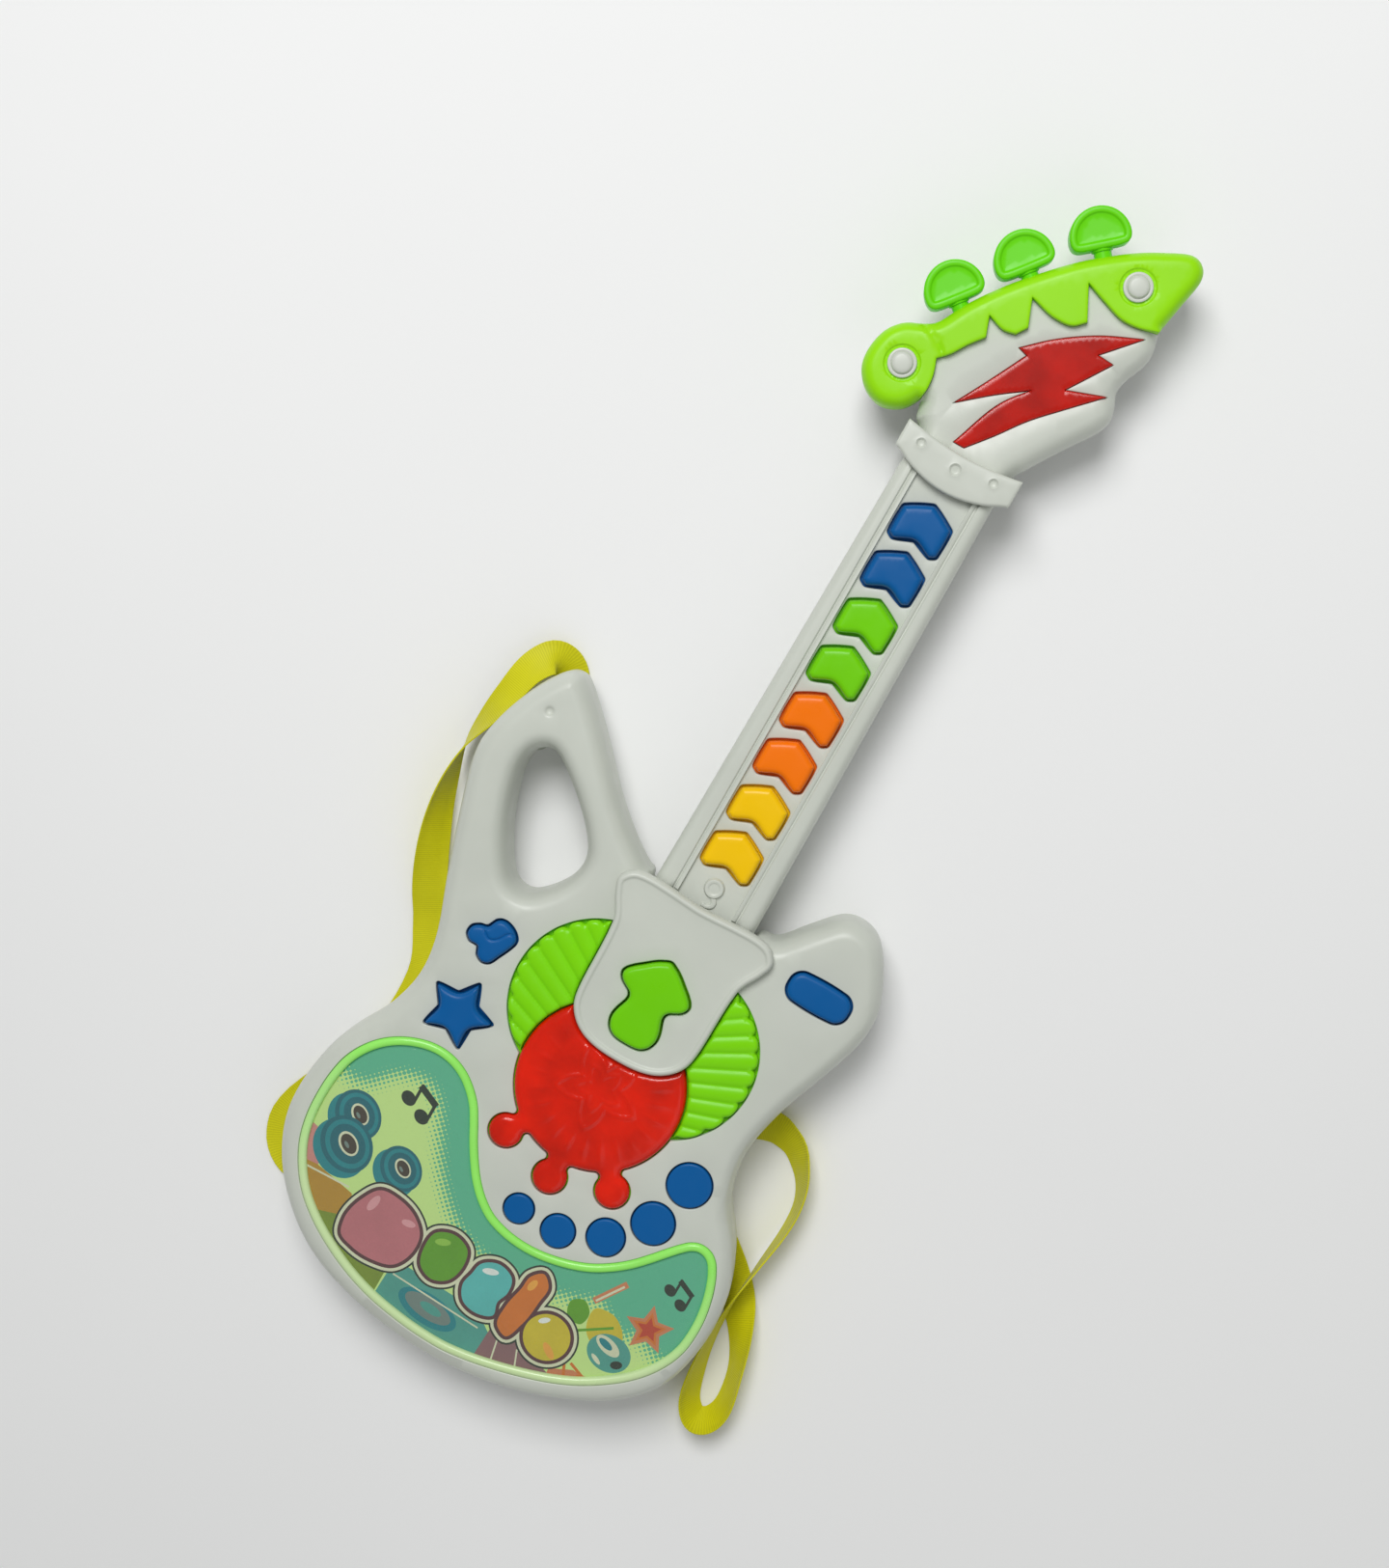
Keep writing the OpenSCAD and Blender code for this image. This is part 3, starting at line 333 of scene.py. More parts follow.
def centre(loop):
    return (loop.min(0) + loop.max(0)) / 2


def holds(loop, spot):
    """True if the point lies in the loop."""
    return inside(np.array([spot], float), [loop])[0]


# ---------------- solids, in millimetres


def triangulate(p, edges):
    """Delaunay triangles over the points, with the edges kept."""
    verts, _, faces, *_ = geometry.delaunay_2d_cdt(
        [Vector(q) for q in p], [tuple(map(int, e)) for e in edges], [], 0, 1e-4)
    return np.array([v[:] for v in verts]), np.array([f for f in faces if len(f) == 3])


def relief(loops, top, under, rings=(), grid=None, creases=()):
    """Solid between two height fields, over the area that the loops bound.

    top and under give the heights at an array of points. rings is a list of (loops,
    distances) and adds points at those distances from the loops, grid adds points that far
    apart, and creases adds lines of points that the triangles keep.
    """
    bound = Edge(loops)
    points, edges, count = [], [], 0
    for line, closed in [(q, True) for q in loops] + [(q, False) for q in creases]:
        ids = np.arange(count, count + len(line))
        edges.append(np.stack([ids, np.roll(ids, -1)], 1)[:None if closed else -1])
        points.append(line)
        count += len(line)
    far = 0.0
    for lines, gaps in rings:
        for gap in gaps:
            far = max(far, gap)
            for line in lines:
                for side in (-gap, gap):
                    moved = grown(line, side)
                    moved = moved[inside(moved, loops)]
                    if len(moved):
                        points.append(moved[bound.distance(moved) > 0.96 * gap])
    if grid:
        low, high = loops[0].min(0), loops[0].max(0)
        x, y = np.meshgrid(np.arange(low[0], high[0], grid), np.arange(low[1], high[1], grid))
        x[::2] += grid / 2
        spread = np.stack([x.ravel(), y.ravel()], 1)
        spread = spread[inside(spread, loops)]
        points.append(spread[bound.distance(spread) > far + 0.6 * grid])
    p, faces = triangulate(np.concatenate(points), np.concatenate(edges))
    faces = faces[inside(p[faces].mean(1), loops)]
    used, faces = np.unique(faces, return_inverse=True)
    p, faces = p[used], faces.reshape(-1, 3)
    n = len(p)
    heights = np.concatenate([top(p), under(p)])
    solid = np.column_stack([np.vstack([p, p]), heights])
    pairs = {}
    for f in faces:
        for a, b in ((f[0], f[1]), (f[1], f[2]), (f[2], f[0])):
            pairs[(a, b)] = pairs.get((a, b), 0) + 1
    rim = [(a, b) for a, b in pairs if (b, a) not in pairs]
    walls = [(b, a, a + n, b + n) for a, b in rim]
    return solid, [tuple(f) for f in faces] + [tuple(f[::-1] + n) for f in faces] + walls


def flat(z):
    return lambda p: np.full(len(p), float(z))


def bulge(d, r, h=None):
    """How far a rounded edge of width r and height h lies below its face at distance d."""
    t = 1 - np.clip(d / r, 0, 1)
    return (h or r) * (1 - np.sqrt(np.maximum(0, 1 - t * t)))


def step(x, width):
    """0 below zero and 1 above it, with a soft change."""
    return 0.5 + 0.5 * np.tanh(0.5 * x / width)


def bell(x, width, power=2):
    """1 at zero, falling away to both sides."""
    return np.exp(-(x / width) ** power)


def arc_rings(r, n=5):
    """Distances from an edge that follow its rounding evenly."""
    return [r * (1 - math.cos(math.pi / 2 * k / n)) for k in range(1, n + 1)]


def cap(loops, z_top, z_under, r, h=None, grid=None, crown=0.0, groove=(), n=5):
    """Solid with straight walls and a rounded upper edge, its face a little crowned.

    groove is a row of points along which the face is cut in, n the number of edge rings.
    """
    edge = Edge(loops)
    line = smooth_route(groove, 8) if groove else None

    def top(p):
        d = edge.distance(p)
        z = z_top - bulge(d, r, h) - crown * bulge(d, 5 * r + 1, 1.0)
        return z - 0.5 * bell(away(p, line), 0.42) if groove else z

    creases = [grown(line, k) for k in (-0.8, -0.4, 0, 0.4, 0.8)] if groove else []
    return relief(loops, top, flat(z_under), [(loops, arc_rings(r, n))], grid, creases)


def upside_down(shape, z=0.0):
    """The shape mirrored in the plane at height z."""
    points, faces = shape
    points = points.copy()
    points[:, 2] = 2 * z - points[:, 2]
    return points, [f[::-1] for f in faces]


def lathe(profile, origin, axis=(0, 0, 1), n=48, ring=False):
    """Solid of the profile's (radius, height) points turned about the axis at origin.

    The profile starts and ends on the axis, or ring closes it on itself.
    """
    turn = Vector((0, 0, 1)).rotation_difference(Vector(axis)).to_matrix()
    points, rings, faces = [], [], []
    for r, h in profile:
        if r == 0:
            rings.append([len(points)])
            points.append(Vector((0, 0, h)))
            continue
        rings.append(list(range(len(points), len(points) + n)))
        points += [Vector((r * math.cos(a), r * math.sin(a), h))
                   for a in (2 * math.pi * k / n for k in range(n))]
    for low, high in zip(rings, rings[1:] + rings[:1] if ring else rings[1:]):
        for k in range(n):
            quad = [low[k % len(low)], low[(k + 1) % len(low)],
                    high[(k + 1) % len(high)], high[k % len(high)]]
            faces.append(tuple(dict.fromkeys(quad)))
    placed = [turn @ q + Vector(origin) for q in points]
    return np.array([q[:] for q in placed]), faces


def piece(name, shapes, material, replaces, body="guitar", slot=None, sharp=38):
    """One object made of the shapes, riding on a body; its slot, by default its material's name, is not
    used.
    """
    # Blender numbers a material where the frame has one of that name
    slot = slot or material.name.split(".")[0]
    points, faces, count = [], [], 0
    for p, f in shapes:
        points.append(p)
        faces += [tuple(int(i) + count for i in face) for face in f]
        count += len(p)
    obj = add_mesh(name, (np.concatenate(points) * MM).tolist(), faces, material, sharp)
    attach(obj, body)
    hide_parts(*replaces)
    return obj


# ---------------- materials


def srgb(r, g, b):
    """Linear colour of a screen colour given as 0 to 255."""
    return tuple((c / 255 / 12.92 if c <= 10 else ((c / 255 + 0.055) / 1.055) ** 2.4)
                 for c in (r, g, b))


class Finish:
    """Material under construction: a Principled shader and the nodes that feed it."""

    def __init__(self, name, colour, **sockets):
        self.material = bpy.data.materials.new(name)
        self.material.use_nodes = True
        self.tree = self.material.node_tree
        self.shader = self.tree.nodes["Principled BSDF"]
        self.colour = (*colour, 1)
        self.shader.inputs["Base Color"].default_value = self.colour
        for key, value in sockets.items():
            self.shader.inputs[key.replace("_", " ")].default_value = value

    def add(self, kind, settings=None, **inputs):
        """New node; inputs are values or the output sockets of other nodes."""
        node = self.tree.nodes.new("ShaderNode" + kind)
        for key, value in (settings or {}).items():
            setattr(node, key, value)
        for key, value in inputs.items():
            socket = node.inputs[int(key[1:]) if key[1:].isdigit() else key.replace("_", " ")]
            if isinstance(value, bpy.types.NodeSocket):
                self.tree.links.new(value, socket)
            else:
                socket.default_value = value
        return node

    def link(self, output, key):
        self.tree.links.new(output, self.shader.inputs[key])

    def place(self, kind="Object"):
        return self.add("TexCoord").outputs[kind]

    def noise(self, scale, detail=3.0):
        return self.add("TexNoise", Vector=self.place(), Scale=scale, Detail=detail).outputs["Fac"]

    def between(self, fac, low, high, start=0.3, end=0.7):
        """fac from start to end, spread from low to high."""
        return self.add("MapRange", Value=fac, From_Min=start, From_Max=end,
                        To_Min=low, To_Max=high).outputs["Result"]

    def math(self, operation, a, b=0.0):
        return self.add("Math", {"operation": operation}, _0=a, _1=b).outputs["Value"]

    def mix(self, fac, a, b, blend="MIX"):
        node = self.add("Mix", {"data_type": "RGBA", "blend_type": blend}, _0=fac, _6=a, _7=b)
        return node.outputs[2]

    def times(self, fac):
        """The colour times a factor."""
        grey = self.add("CombineColor", Red=fac, Green=fac, Blue=fac).outputs["Color"]
        return self.mix(1.0, self.colour, grey, "MULTIPLY")

    def shade(self, amount, scale):
        """Slightly darker and lighter patches of the colour."""
        return self.times(self.between(self.noise(scale), 1 - amount, 1 + amount))

    def roughen(self, scale, low, high):
        """Roughness that wanders from low to high."""
        self.link(self.between(self.noise(scale), low, high), "Roughness")

    def bump(self, height, strength, depth):
        node = self.add("Bump", Height=height, Strength=strength, Distance=depth)
        self.link(node.outputs["Normal"], "Normal")


def plastic(name, colour, rough=0.34, patch=0.03, peel=0.10, gloss=0.25):
    """Moulded plastic: faint patches, uneven gloss and the mould's fine texture."""
    f = Finish(name, colour, Specular_IOR_Level=gloss)
    f.link(f.shade(patch, 26), "Base Color")
    f.roughen(170, rough - 0.05, rough + 0.06)
    f.bump(f.noise(1500, 2.0), peel, 0.00006)
    return f.material


def red_lens(name, colour):
    """Tinted clear plastic with cloudy depth and a polished face."""
    f = Finish(name, colour, Roughness=0.2, Specular_IOR_Level=0.35, Coat_Weight=0.1,
               Coat_Roughness=0.08, Subsurface_Weight=0.35, Subsurface_Scale=0.004,
               Subsurface_Radius=(1.0, 0.25, 0.1))
    f.link(f.times(f.between(f.noise(70, 5.0), 0.78, 1.16)), "Base Color")
    f.bump(f.noise(300), 0.12, 0.0002)
    return f.material


def rim_painted_light(name, bright, pale):
    """Lime plastic with painted light: a faint painted glow, and brighter colour along the upper side of the
    panel, pale below.
    """
    # Painted glow: a weak emission in the rim's own colour, though the rim is no lamp
    f = Finish(name, bright, Roughness=0.25, Emission_Strength=0.12)
    # Painted light: the per-point lit-side value gives the bright colour on the side facing the neck and the
    # pale one elsewhere
    lit = f.add("Attribute", {"attribute_name": "painted_lit_side"}).outputs["Fac"]
    colour = f.mix(lit, (*pale, 1), f.shade(0.04, 60))
    f.link(colour, "Base Color")
    f.link(colour, "Emission Color")
    f.roughen(170, 0.2, 0.32)
    return f.material


def woven_ribbon():
    """Ribbon with crosswise ribs and fine lengthwise threads."""
    f = Finish("ribbon_weave", srgb(214, 210, 10), Specular_IOR_Level=0.3, Sheen_Weight=0.12,
               Sheen_Roughness=0.4)
    at = f.place("UV")
    ribs = f.add("TexWave", {"bands_direction": "X"}, Vector=at, Scale=420.0, Distortion=0.6,
                 Detail=1.0).outputs["Fac"]
    threads = f.add("TexWave", {"bands_direction": "Y"}, Vector=at, Scale=700.0,
                    Distortion=0.4).outputs["Fac"]
    weave = f.math("MULTIPLY", ribs, f.between(threads, 0.7, 1.0, 0.0, 1.0))
    # Painted shade: the colour is darkened in the grooves between ribs and threads, with random tone patches
    # mixed in
    light = f.between(weave, 0.86, 1.06, 0.0, 1.0)
    light = f.math("MULTIPLY", light, f.between(f.noise(60), 0.95, 1.05))
    f.link(f.times(light), "Base Color")
    f.link(f.between(weave, 0.62, 0.46, 0.0, 1.0), "Roughness")
    f.bump(weave, 0.35, 0.0001)
    return f.material


def printed(name, colour):
    """Offset print on the picture sheet, with a faint screen of ink dots."""
    f = Finish(name, colour, Specular_IOR_Level=0.15)
    dots = f.add("TexVoronoi", Vector=f.place(), Scale=2600.0).outputs["Distance"]
    ink = f.between(dots, 0.95, 1.05, 0.1, 0.7)
    ink = f.math("MULTIPLY", ink, f.between(f.noise(90), 0.95, 1.05))
    f.link(f.times(ink), "Base Color")
    f.roughen(200, 0.26, 0.34)
    return f.material


def halftone():
    """Pale green that turns to teal towards the upper edge by growing round dots."""
    pale, teal = (*srgb(196, 226, 138), 1), (*srgb(88, 178, 142), 1)
    f = Finish("print_halftone", teal[:3], Specular_IOR_Level=0.15)
    near = f.add("Attribute", {"attribute_name": "near_edge"}).outputs["Fac"]
    turned = f.add("Mapping", Vector=f.place(), Rotation=(0, 0, math.radians(45)),
                   Scale=(620, 620, 620)).outputs["Vector"]
    cell = f.add("VectorMath", {"operation": "FRACTION"}, _0=turned).outputs["Vector"]
    parts = f.add("SeparateXYZ", Vector=cell)
    x = f.math("SUBTRACT", parts.outputs["X"], 0.5)
    y = f.math("SUBTRACT", parts.outputs["Y"], 0.5)
    off = f.math("SQRT", f.math("ADD", f.math("MULTIPLY", x, x), f.math("MULTIPLY", y, y)))
    dot = f.between(f.math("SUBTRACT", near, off), 0.0, 1.0, -0.04, 0.04)
    f.link(f.mix(dot, pale, teal), "Base Color")
    f.roughen(200, 0.26, 0.34)
    return f.material


def clear_plastic():
    """Glossy see-through cover."""
    f = Finish("clear_cover", (0.55, 0.75, 0.6), Alpha=0.05, IOR=1.5)
    f.roughen(120, 0.03, 0.08)
    return f.material


def metal(name, colour, rough):
    f = Finish(name, colour, Metallic=1.0)
    f.link(f.shade(0.06, 200), "Base Color")
    f.roughen(900, rough - 0.08, rough + 0.1)
    f.bump(f.noise(2500), 0.1, 0.00003)
    return f.material


WHITE = plastic("white_plastic", srgb(206, 210, 200), 0.36, gloss=0.5)
LIME = plastic("lime_plastic", srgb(154, 230, 14), 0.32)
WING_LIME = plastic("wing_lime", srgb(130, 224, 4), 0.32)
RIM_LIME = rim_painted_light("rim_lime", srgb(146, 232, 100), srgb(196, 220, 164))
GREEN = plastic("green_plastic", srgb(116, 212, 2), 0.32)
PEG_GREEN = plastic("peg_green", srgb(106, 220, 6), 0.32)
BLUE = plastic("blue_plastic", srgb(0, 92, 160), 0.38)
ORANGE = plastic("orange_plastic", srgb(255, 122, 0), 0.32)
YELLOW = plastic("yellow_plastic", srgb(255, 204, 0), 0.32)
LENS = red_lens("red_lens", srgb(226, 30, 0))
BOLT = red_lens("red_bolt", srgb(192, 22, 6))
DARK = plastic("dark_plastic", (0.02, 0.02, 0.022), 0.5)
RUBBER = plastic("silicone", (0.5, 0.5, 0.46), 0.6)
BOARD = plastic("board_green", (0.02, 0.16, 0.06), 0.4, patch=0.15)
PAPER = plastic("speaker_paper", (0.05, 0.045, 0.04), 0.8, patch=0.1, peel=0.5)
DIODE = plastic("diode", (0.8, 0.7, 0.6), 0.15)
WIRE = plastic("wire_red", (0.45, 0.02, 0.03), 0.45)
STEEL = metal("zinc_steel", (0.55, 0.55, 0.57), 0.35)
CELL = metal("cell_can", (0.3, 0.3, 0.33), 0.45)
COVER = clear_plastic()
INKS = {
    "teal": (20, 124, 134), "cyan_dark": (10, 92, 108), "cyan": (86, 180, 176), "sea": (74, 150, 138),
    "pink": (196, 128, 122), "rose": (184, 104, 114), "rose_light": (212, 148, 154),
    "plum": (84, 26, 46), "cream": (210, 212, 180), "white": (224, 228, 222), "black": (30, 22, 24),
    "brown": (64, 38, 38), "grey": (112, 126, 122), "mustard": (176, 130, 30), "olive": (118, 136, 32),
    "green": (92, 152, 14), "lime": (142, 190, 66), "mauve": (134, 92, 98), "salmon": (200, 120, 80),
    "orange": (204, 108, 28), "amber": (228, 160, 60), "yellow": (200, 180, 36), "brick": (186, 50, 28),
}


# ---------------- body


FACE = 32.0
SEAM = 17.0
WALL = 2.2
ROOF = FACE - WALL
HANDLE = (-62, 72)

# Rounded edges, as width and height
FRONT_EDGE = (6.2, 9.5)
INNER_EDGE = (4.7, 6.5)
BACK_EDGE = (7, 10)
RAIL_EDGE = (3.4, 4.6)
HULL_EDGE = (8, 10)
PLATE_EDGE = (6.5, 8)
REAR_EDGE = (6, 8)
CREST_EDGE = (4.2, 5.5)


def body_edges(node, z):
    """The body's outline and the outline of the hole in its horn."""
    loops = section(node, z)
    return [smooth(loops[0]), smooth([q for q in loops if holds(q, HANDLE)][-1], 0.7)]


def body_openings(node, z):
    """Outlines of the other openings at height z."""
    return [smooth(q, 0.6) for q in section(node, z)[1:] if not holds(q, HANDLE)]


def shell(edges, openings, face, seam, top, round_edge, grid, rings=(), creases=()):
    """Half of the body: its face with openings, and walls down to the seam.

    top gives the face's height before round_edge takes its width and height off the rim.
    """
    edge = Edge(edges)

    def under(p):
        d = edge.distance(p)
        return np.where(d < WALL, seam, face - WALL - bulge(d - WALL, *INNER_EDGE))

    gaps = arc_rings(round_edge[0], 8) + [WALL - 0.04, WALL + 0.04]
    return relief(edges + openings, lambda p: top(p) - edge.bulge(p, *round_edge), under,
                  [(edges, gaps), *rings], grid, creases)


def make_front():
    openings = body_openings("front_shell", FACE - 0.8)
    openings.append(grown(trace("panel_rim", FACE - 1), 0.15))
    lips = Edge(openings)
    dimple = (-80.3, 106.5)

    def top(p):
        return FACE - lips.bulge(p, 0.35) - 1.1 * bell(away(p, [dimple]), 1.5, 4)

    creases = [circle(*dimple, r, 20) for r in (0.6, 1.1, 1.5, 1.9, 2.6)]
    front = shell(body_edges("front_shell", SEAM + 4), openings, FACE, SEAM, top, FRONT_EDGE, 6,
                  [(openings, arc_rings(0.35, 3))], creases)
    piece("body_front", [front], WHITE, ["front_shell"])


def make_back():
    rear = -z_range("back_shell")[0] - 2.0
    back = shell(body_edges("back_shell", SEAM - 7), body_openings("back_shell", 3.2), rear,
                 0.15 - SEAM, flat(rear), BACK_EDGE, 8)
    raised = [smooth(q) for q in section("back_shell", 1.0)]
    low = cap(raised, 0.0, rear - 0.4, 0.5)
    bosses = [lathe([(3.4, 4.0), (4.6, 4.0), (4.6, 15.5), (1.9, 15.5), (1.9, 7.0), (3.4, 7.0)],
                    (*centre(q), 0), n=32, ring=True)
              for q in section("back_shell", 5.5) if 30 < area(q) < 40]
    piece("body_back", [upside_down(back), upside_down(low)] + bosses, WHITE, ["back_shell"])


# ---------------- neck

NECK_SEAM = 19.85
CHANNEL = 10.82


def make_neck():
    outline = trace("neck_front", 28, 2.5)
    z_top = z_range("neck_front")[1]
    floor = z_top - 1.6
    edge = Edge([outline])
    keys = [smooth(q, 0.6) for q in section("neck_front", floor - 0.4) if 200 < area(q) < 420]
    screws = [q for q in section("neck_front", floor - 0.3) if 25 < area(q) < 45]
    lips = Edge(keys)
    low, high = outline[:, 1].min() + 0.05, outline[:, 1].max() - 0.05
    along = np.linspace(low, high, 60)

    def top(p):
        x = np.abs(p[:, 0])
        rail = z_top - edge.bulge(p, *RAIL_EDGE)
        rail -= 0.8 * bell(x - 12.6, 0.42, 4) + 0.25 * bell(x - 11.9, 0.5)
        return np.where(x < CHANNEL, floor - lips.bulge(p, 0.5), rail)

    def under(p):
        return np.where((np.abs(p[:, 0]) < 17) & (edge.distance(p) > 1.8), floor - 2, 20.0)

    lines = [np.stack([np.full(60, s * x), along], 1) for s in (-1, 1)
             for x in (CHANNEL - 0.04, CHANNEL + 0.04, 11.3, 11.9, 12.15, 12.4, 12.8, 13.05, 13.3)]
    rings = [([outline], arc_rings(RAIL_EDGE[0], 6)), (keys, arc_rings(0.5, 3))]
    front = relief([outline] + keys, top, under, rings, None, lines)
    boss = lathe([(0, floor + 1.25), (1.7, floor + 1.2), (2.1, floor + 1.5), (2.7, z_top),
                  (3.2, floor + 1.5), (3.7, floor + 0.4), (3.8, floor), (0, floor)],
                 (*centre(screws[0]), 0), n=40)
    tail = blob([(1.6, 78.6), (3.2, 76.8), (3.0, 74.6), (1.2, 73.4), (-1.6, 73.6), (-1.2, 74.8),
                 (0.8, 74.9), (1.4, 75.8), (0.6, 77.4)], 0.3)
    piece("neck_front_rails", [front, boss, cap([tail], floor + 0.9, floor, 0.6)], WHITE, ["neck_front"])
    hull = cap([outline], -z_range("neck_back")[0], -NECK_SEAM, *HULL_EDGE, 6, n=8)
    heel = cap([blob([(-12.6, 52), (12.6, 52), (12.6, 72), (-12.6, 72)], 2, 20)], 19.6, 11.6, 0.4)
    piece("neck_back_hull", [upside_down(hull), heel], WHITE, ["neck_back"])


# ---------------- head


def head_outlines():
    """Outlines of the head's back, of the crest and of the plate between them."""
    rear, crest = trace("head_back", 19, 0.6), trace("head_crest", 22, 0.6)
    return rear, crest, without(rear, grown(crest, 0.12))


def make_head():
    rear, crest, plate = head_outlines()
    bolt = smooth(section("head_front", 29)[1], 0.7)
    beside = Edge([crest])
    free = Edge([plate], lambda q: beside.distance(q) > 1.2)
    lip = Edge([bolt])
    z_top = z_range("head_front")[1]

    def top(p):
        return z_top - free.bulge(p, *PLATE_EDGE) - lip.bulge(p, 0.4)

    rings = [([plate], arc_rings(PLATE_EDGE[0], 8)), ([bolt], arc_rings(0.4, 2))]
    face = relief([plate, bolt], top, flat(20), rings, 2)
    piece("head_plate", [face], WHITE, ["head_front"])
    hull = cap([rear], -z_range("head_back")[0], -NECK_SEAM, *REAR_EDGE, 4, n=8)
    piece("head_rear", [upside_down(hull)], WHITE, ["head_back"])
    lens = cap([trace("bolt_lens", 30, 0.6)], z_range("bolt_lens")[1] - 0.3, 26.8, 0.5, grid=1.2, n=3)
    piece("head_bolt", [lens], BOLT, ["bolt_lens"], slot="red_lens")


def make_crest():
    _, outline, plate = head_outlines()
    plate = Edge([plate])
    free = Edge([outline], lambda q: plate.distance(q) > 1.2)
    meeting = Edge([outline], lambda q: plate.distance(q) <= 1.2)
    z_top = z_range("head_crest")[1]
    studs = [centre(q) for q in section("crest_studs", 33.5)]
    fold = smooth_route([(-21.5, 262), (-19.6, 268.5), (-21.2, 275.5), (-26.8, 281), (-33.5, 283.4)], 8)

    def top(p):
        z = z_top - free.bulge(p, *CREST_EDGE) - meeting.bulge(p, 0.7)
        for stud in studs:
            z -= 0.7 * step(6.2 - away(p, [stud]), 0.12)
        return np.maximum(z - 0.75 * bell(away(p, fold), 0.8), 20.4)

    creases = [circle(x, y, r, 56) for x, y in studs for r in (5.9, 6.2, 6.5)]
    creases += [grown(fold, d) for d in (-1.6, -0.8, 0, 0.8, 1.6)]
    creases = [c for c in creases if inside(c, [outline]).all()]
    gaps = arc_rings(CREST_EDGE[0], 7) + [0.2]
    ridge = relief([outline], top, flat(20.2), [([outline], gaps)], 1.6, creases)
    piece("head_crest_shell", [ridge], LIME, ["head_crest"])
    domes = [lathe([(0, 32.2), (5.05, 32.2), (5.05, 33.1), (4.9, 33.4), (4.5, 33.55), (4.1, 33.5),
                    (3.9, 33.35), (3.75, 33.5), (3.6, 34.2), (3.2, 34.6), (2.2, 34.78), (0, 34.8)],
                   (x, y, 0)) for x, y in studs]
    piece("head_studs", domes, WHITE, ["crest_studs"])


def make_pegs():
    for joint in frame["joints"]:
        if not joint["name"].startswith("peg_"):
            continue
        node = joint["name"][:5]
        way, place = Vector(joint["axis"]), Vector(joint["pos_m"]) / MM
        outline = soften(trace(node, place.z + 4.2, 0.5, 50), 40)
        edge = Edge([outline])
        z_top = z_range(node)[1]

        def top(p):
            d = edge.distance(p)
            return z_top - bulge(d, 0.9) - 0.8 * step(d - 2.3, 0.16)

        knob = relief([outline], top, lambda p: 2 * place.z - top(p),
                      [([outline], arc_rings(0.9, 4) + [1.4, 1.8, 2.05, 2.2, 2.35, 2.5, 2.8])], 1.5)
        shaft = lathe([(0, -6.6), (2.6, -6.6), (3, -6.2), (3, -0.8), (3.6, -0.7), (3.8, 0), (3.8, 0.9),
                       (0, 0.9)], place, way, 32)
        piece(node + "_knob", [knob, shaft], PEG_GREEN, [node], joint["child"], "green_plastic")


def make_collar():
    band = trace("collar", 31, 0.7, 30)
    edge = Edge([band])
    z_top = z_range("collar")[1]
    dents = [(-14.5, 249, 1.3), (13.5, 249, 1.3), (0, 246.8, 1.7)]

    def top(p):
        z = z_top - edge.bulge(p, 1.1)
        for x, y, r in dents:
            off = away(p, [(x, y)])
            z += 0.15 * bell(off - r - 0.5, 0.35) - 0.8 * step(r - off, 0.12)
        return z

    creases = [circle(x, y, r + k, 24) for x, y, r in dents for k in (-0.4, -0.15, 0.15, 0.5, 0.9)]
    strip = relief([band], top, flat(30.2), [([band], arc_rings(1.1, 4))], 2.5, creases)
    arms = [upside_down(cap([smooth(q, 0.8, 30)], 30.3, 12, 0.6), 21.15) for q in section("collar", 20)]
    piece("collar_band", [strip] + arms, WHITE, ["collar"])


# ---------------- lens, wings and neck plate


def make_neck_plate():
    outline = trace("neck_plate", 33.5, 0.7, 60)
    hole = smooth(section("neck_plate", 35)[-1], 0.5, 60)
    edge, lip = Edge([outline]), Edge([hole])
    z_top = z_range("neck_plate")[1]

    def top(p):
        d = edge.distance(p)
        rim = z_top - bulge(d, 1.5, 2.2)
        dish = z_top - 0.75 - 0.35 * np.clip((d - 3) / 18, 0, 1)
        inner = step(d - 2.3, 0.22)
        return rim * (1 - inner) + dish * inner - lip.bulge(p, 0.5)

    rings = [([outline], arc_rings(1.5, 5) + [1.8, 2.1, 2.3, 2.5, 2.8, 3.2]), ([hole], arc_rings(0.5, 3))]
    plate = relief([outline, hole], top, flat(32.15), rings, 2.5)
    piece("neck_cover", [plate], WHITE, ["neck_plate"])


WING_CENTRE = (14.2, 23.5)
RIB_FAN = (-76.0, -29.0)
RIB_ANGLE = 2.7
RIB_START = 11.0


def rib_place(p):
    """Place across a rib, from -1 at one groove to 1 at the next."""
    angle = np.degrees(np.arctan2(p[:, 1] - RIB_FAN[1], np.abs(p[:, 0]) - RIB_FAN[0]))
    return 2 * (((angle - RIB_START) / RIB_ANGLE) % 1) - 1


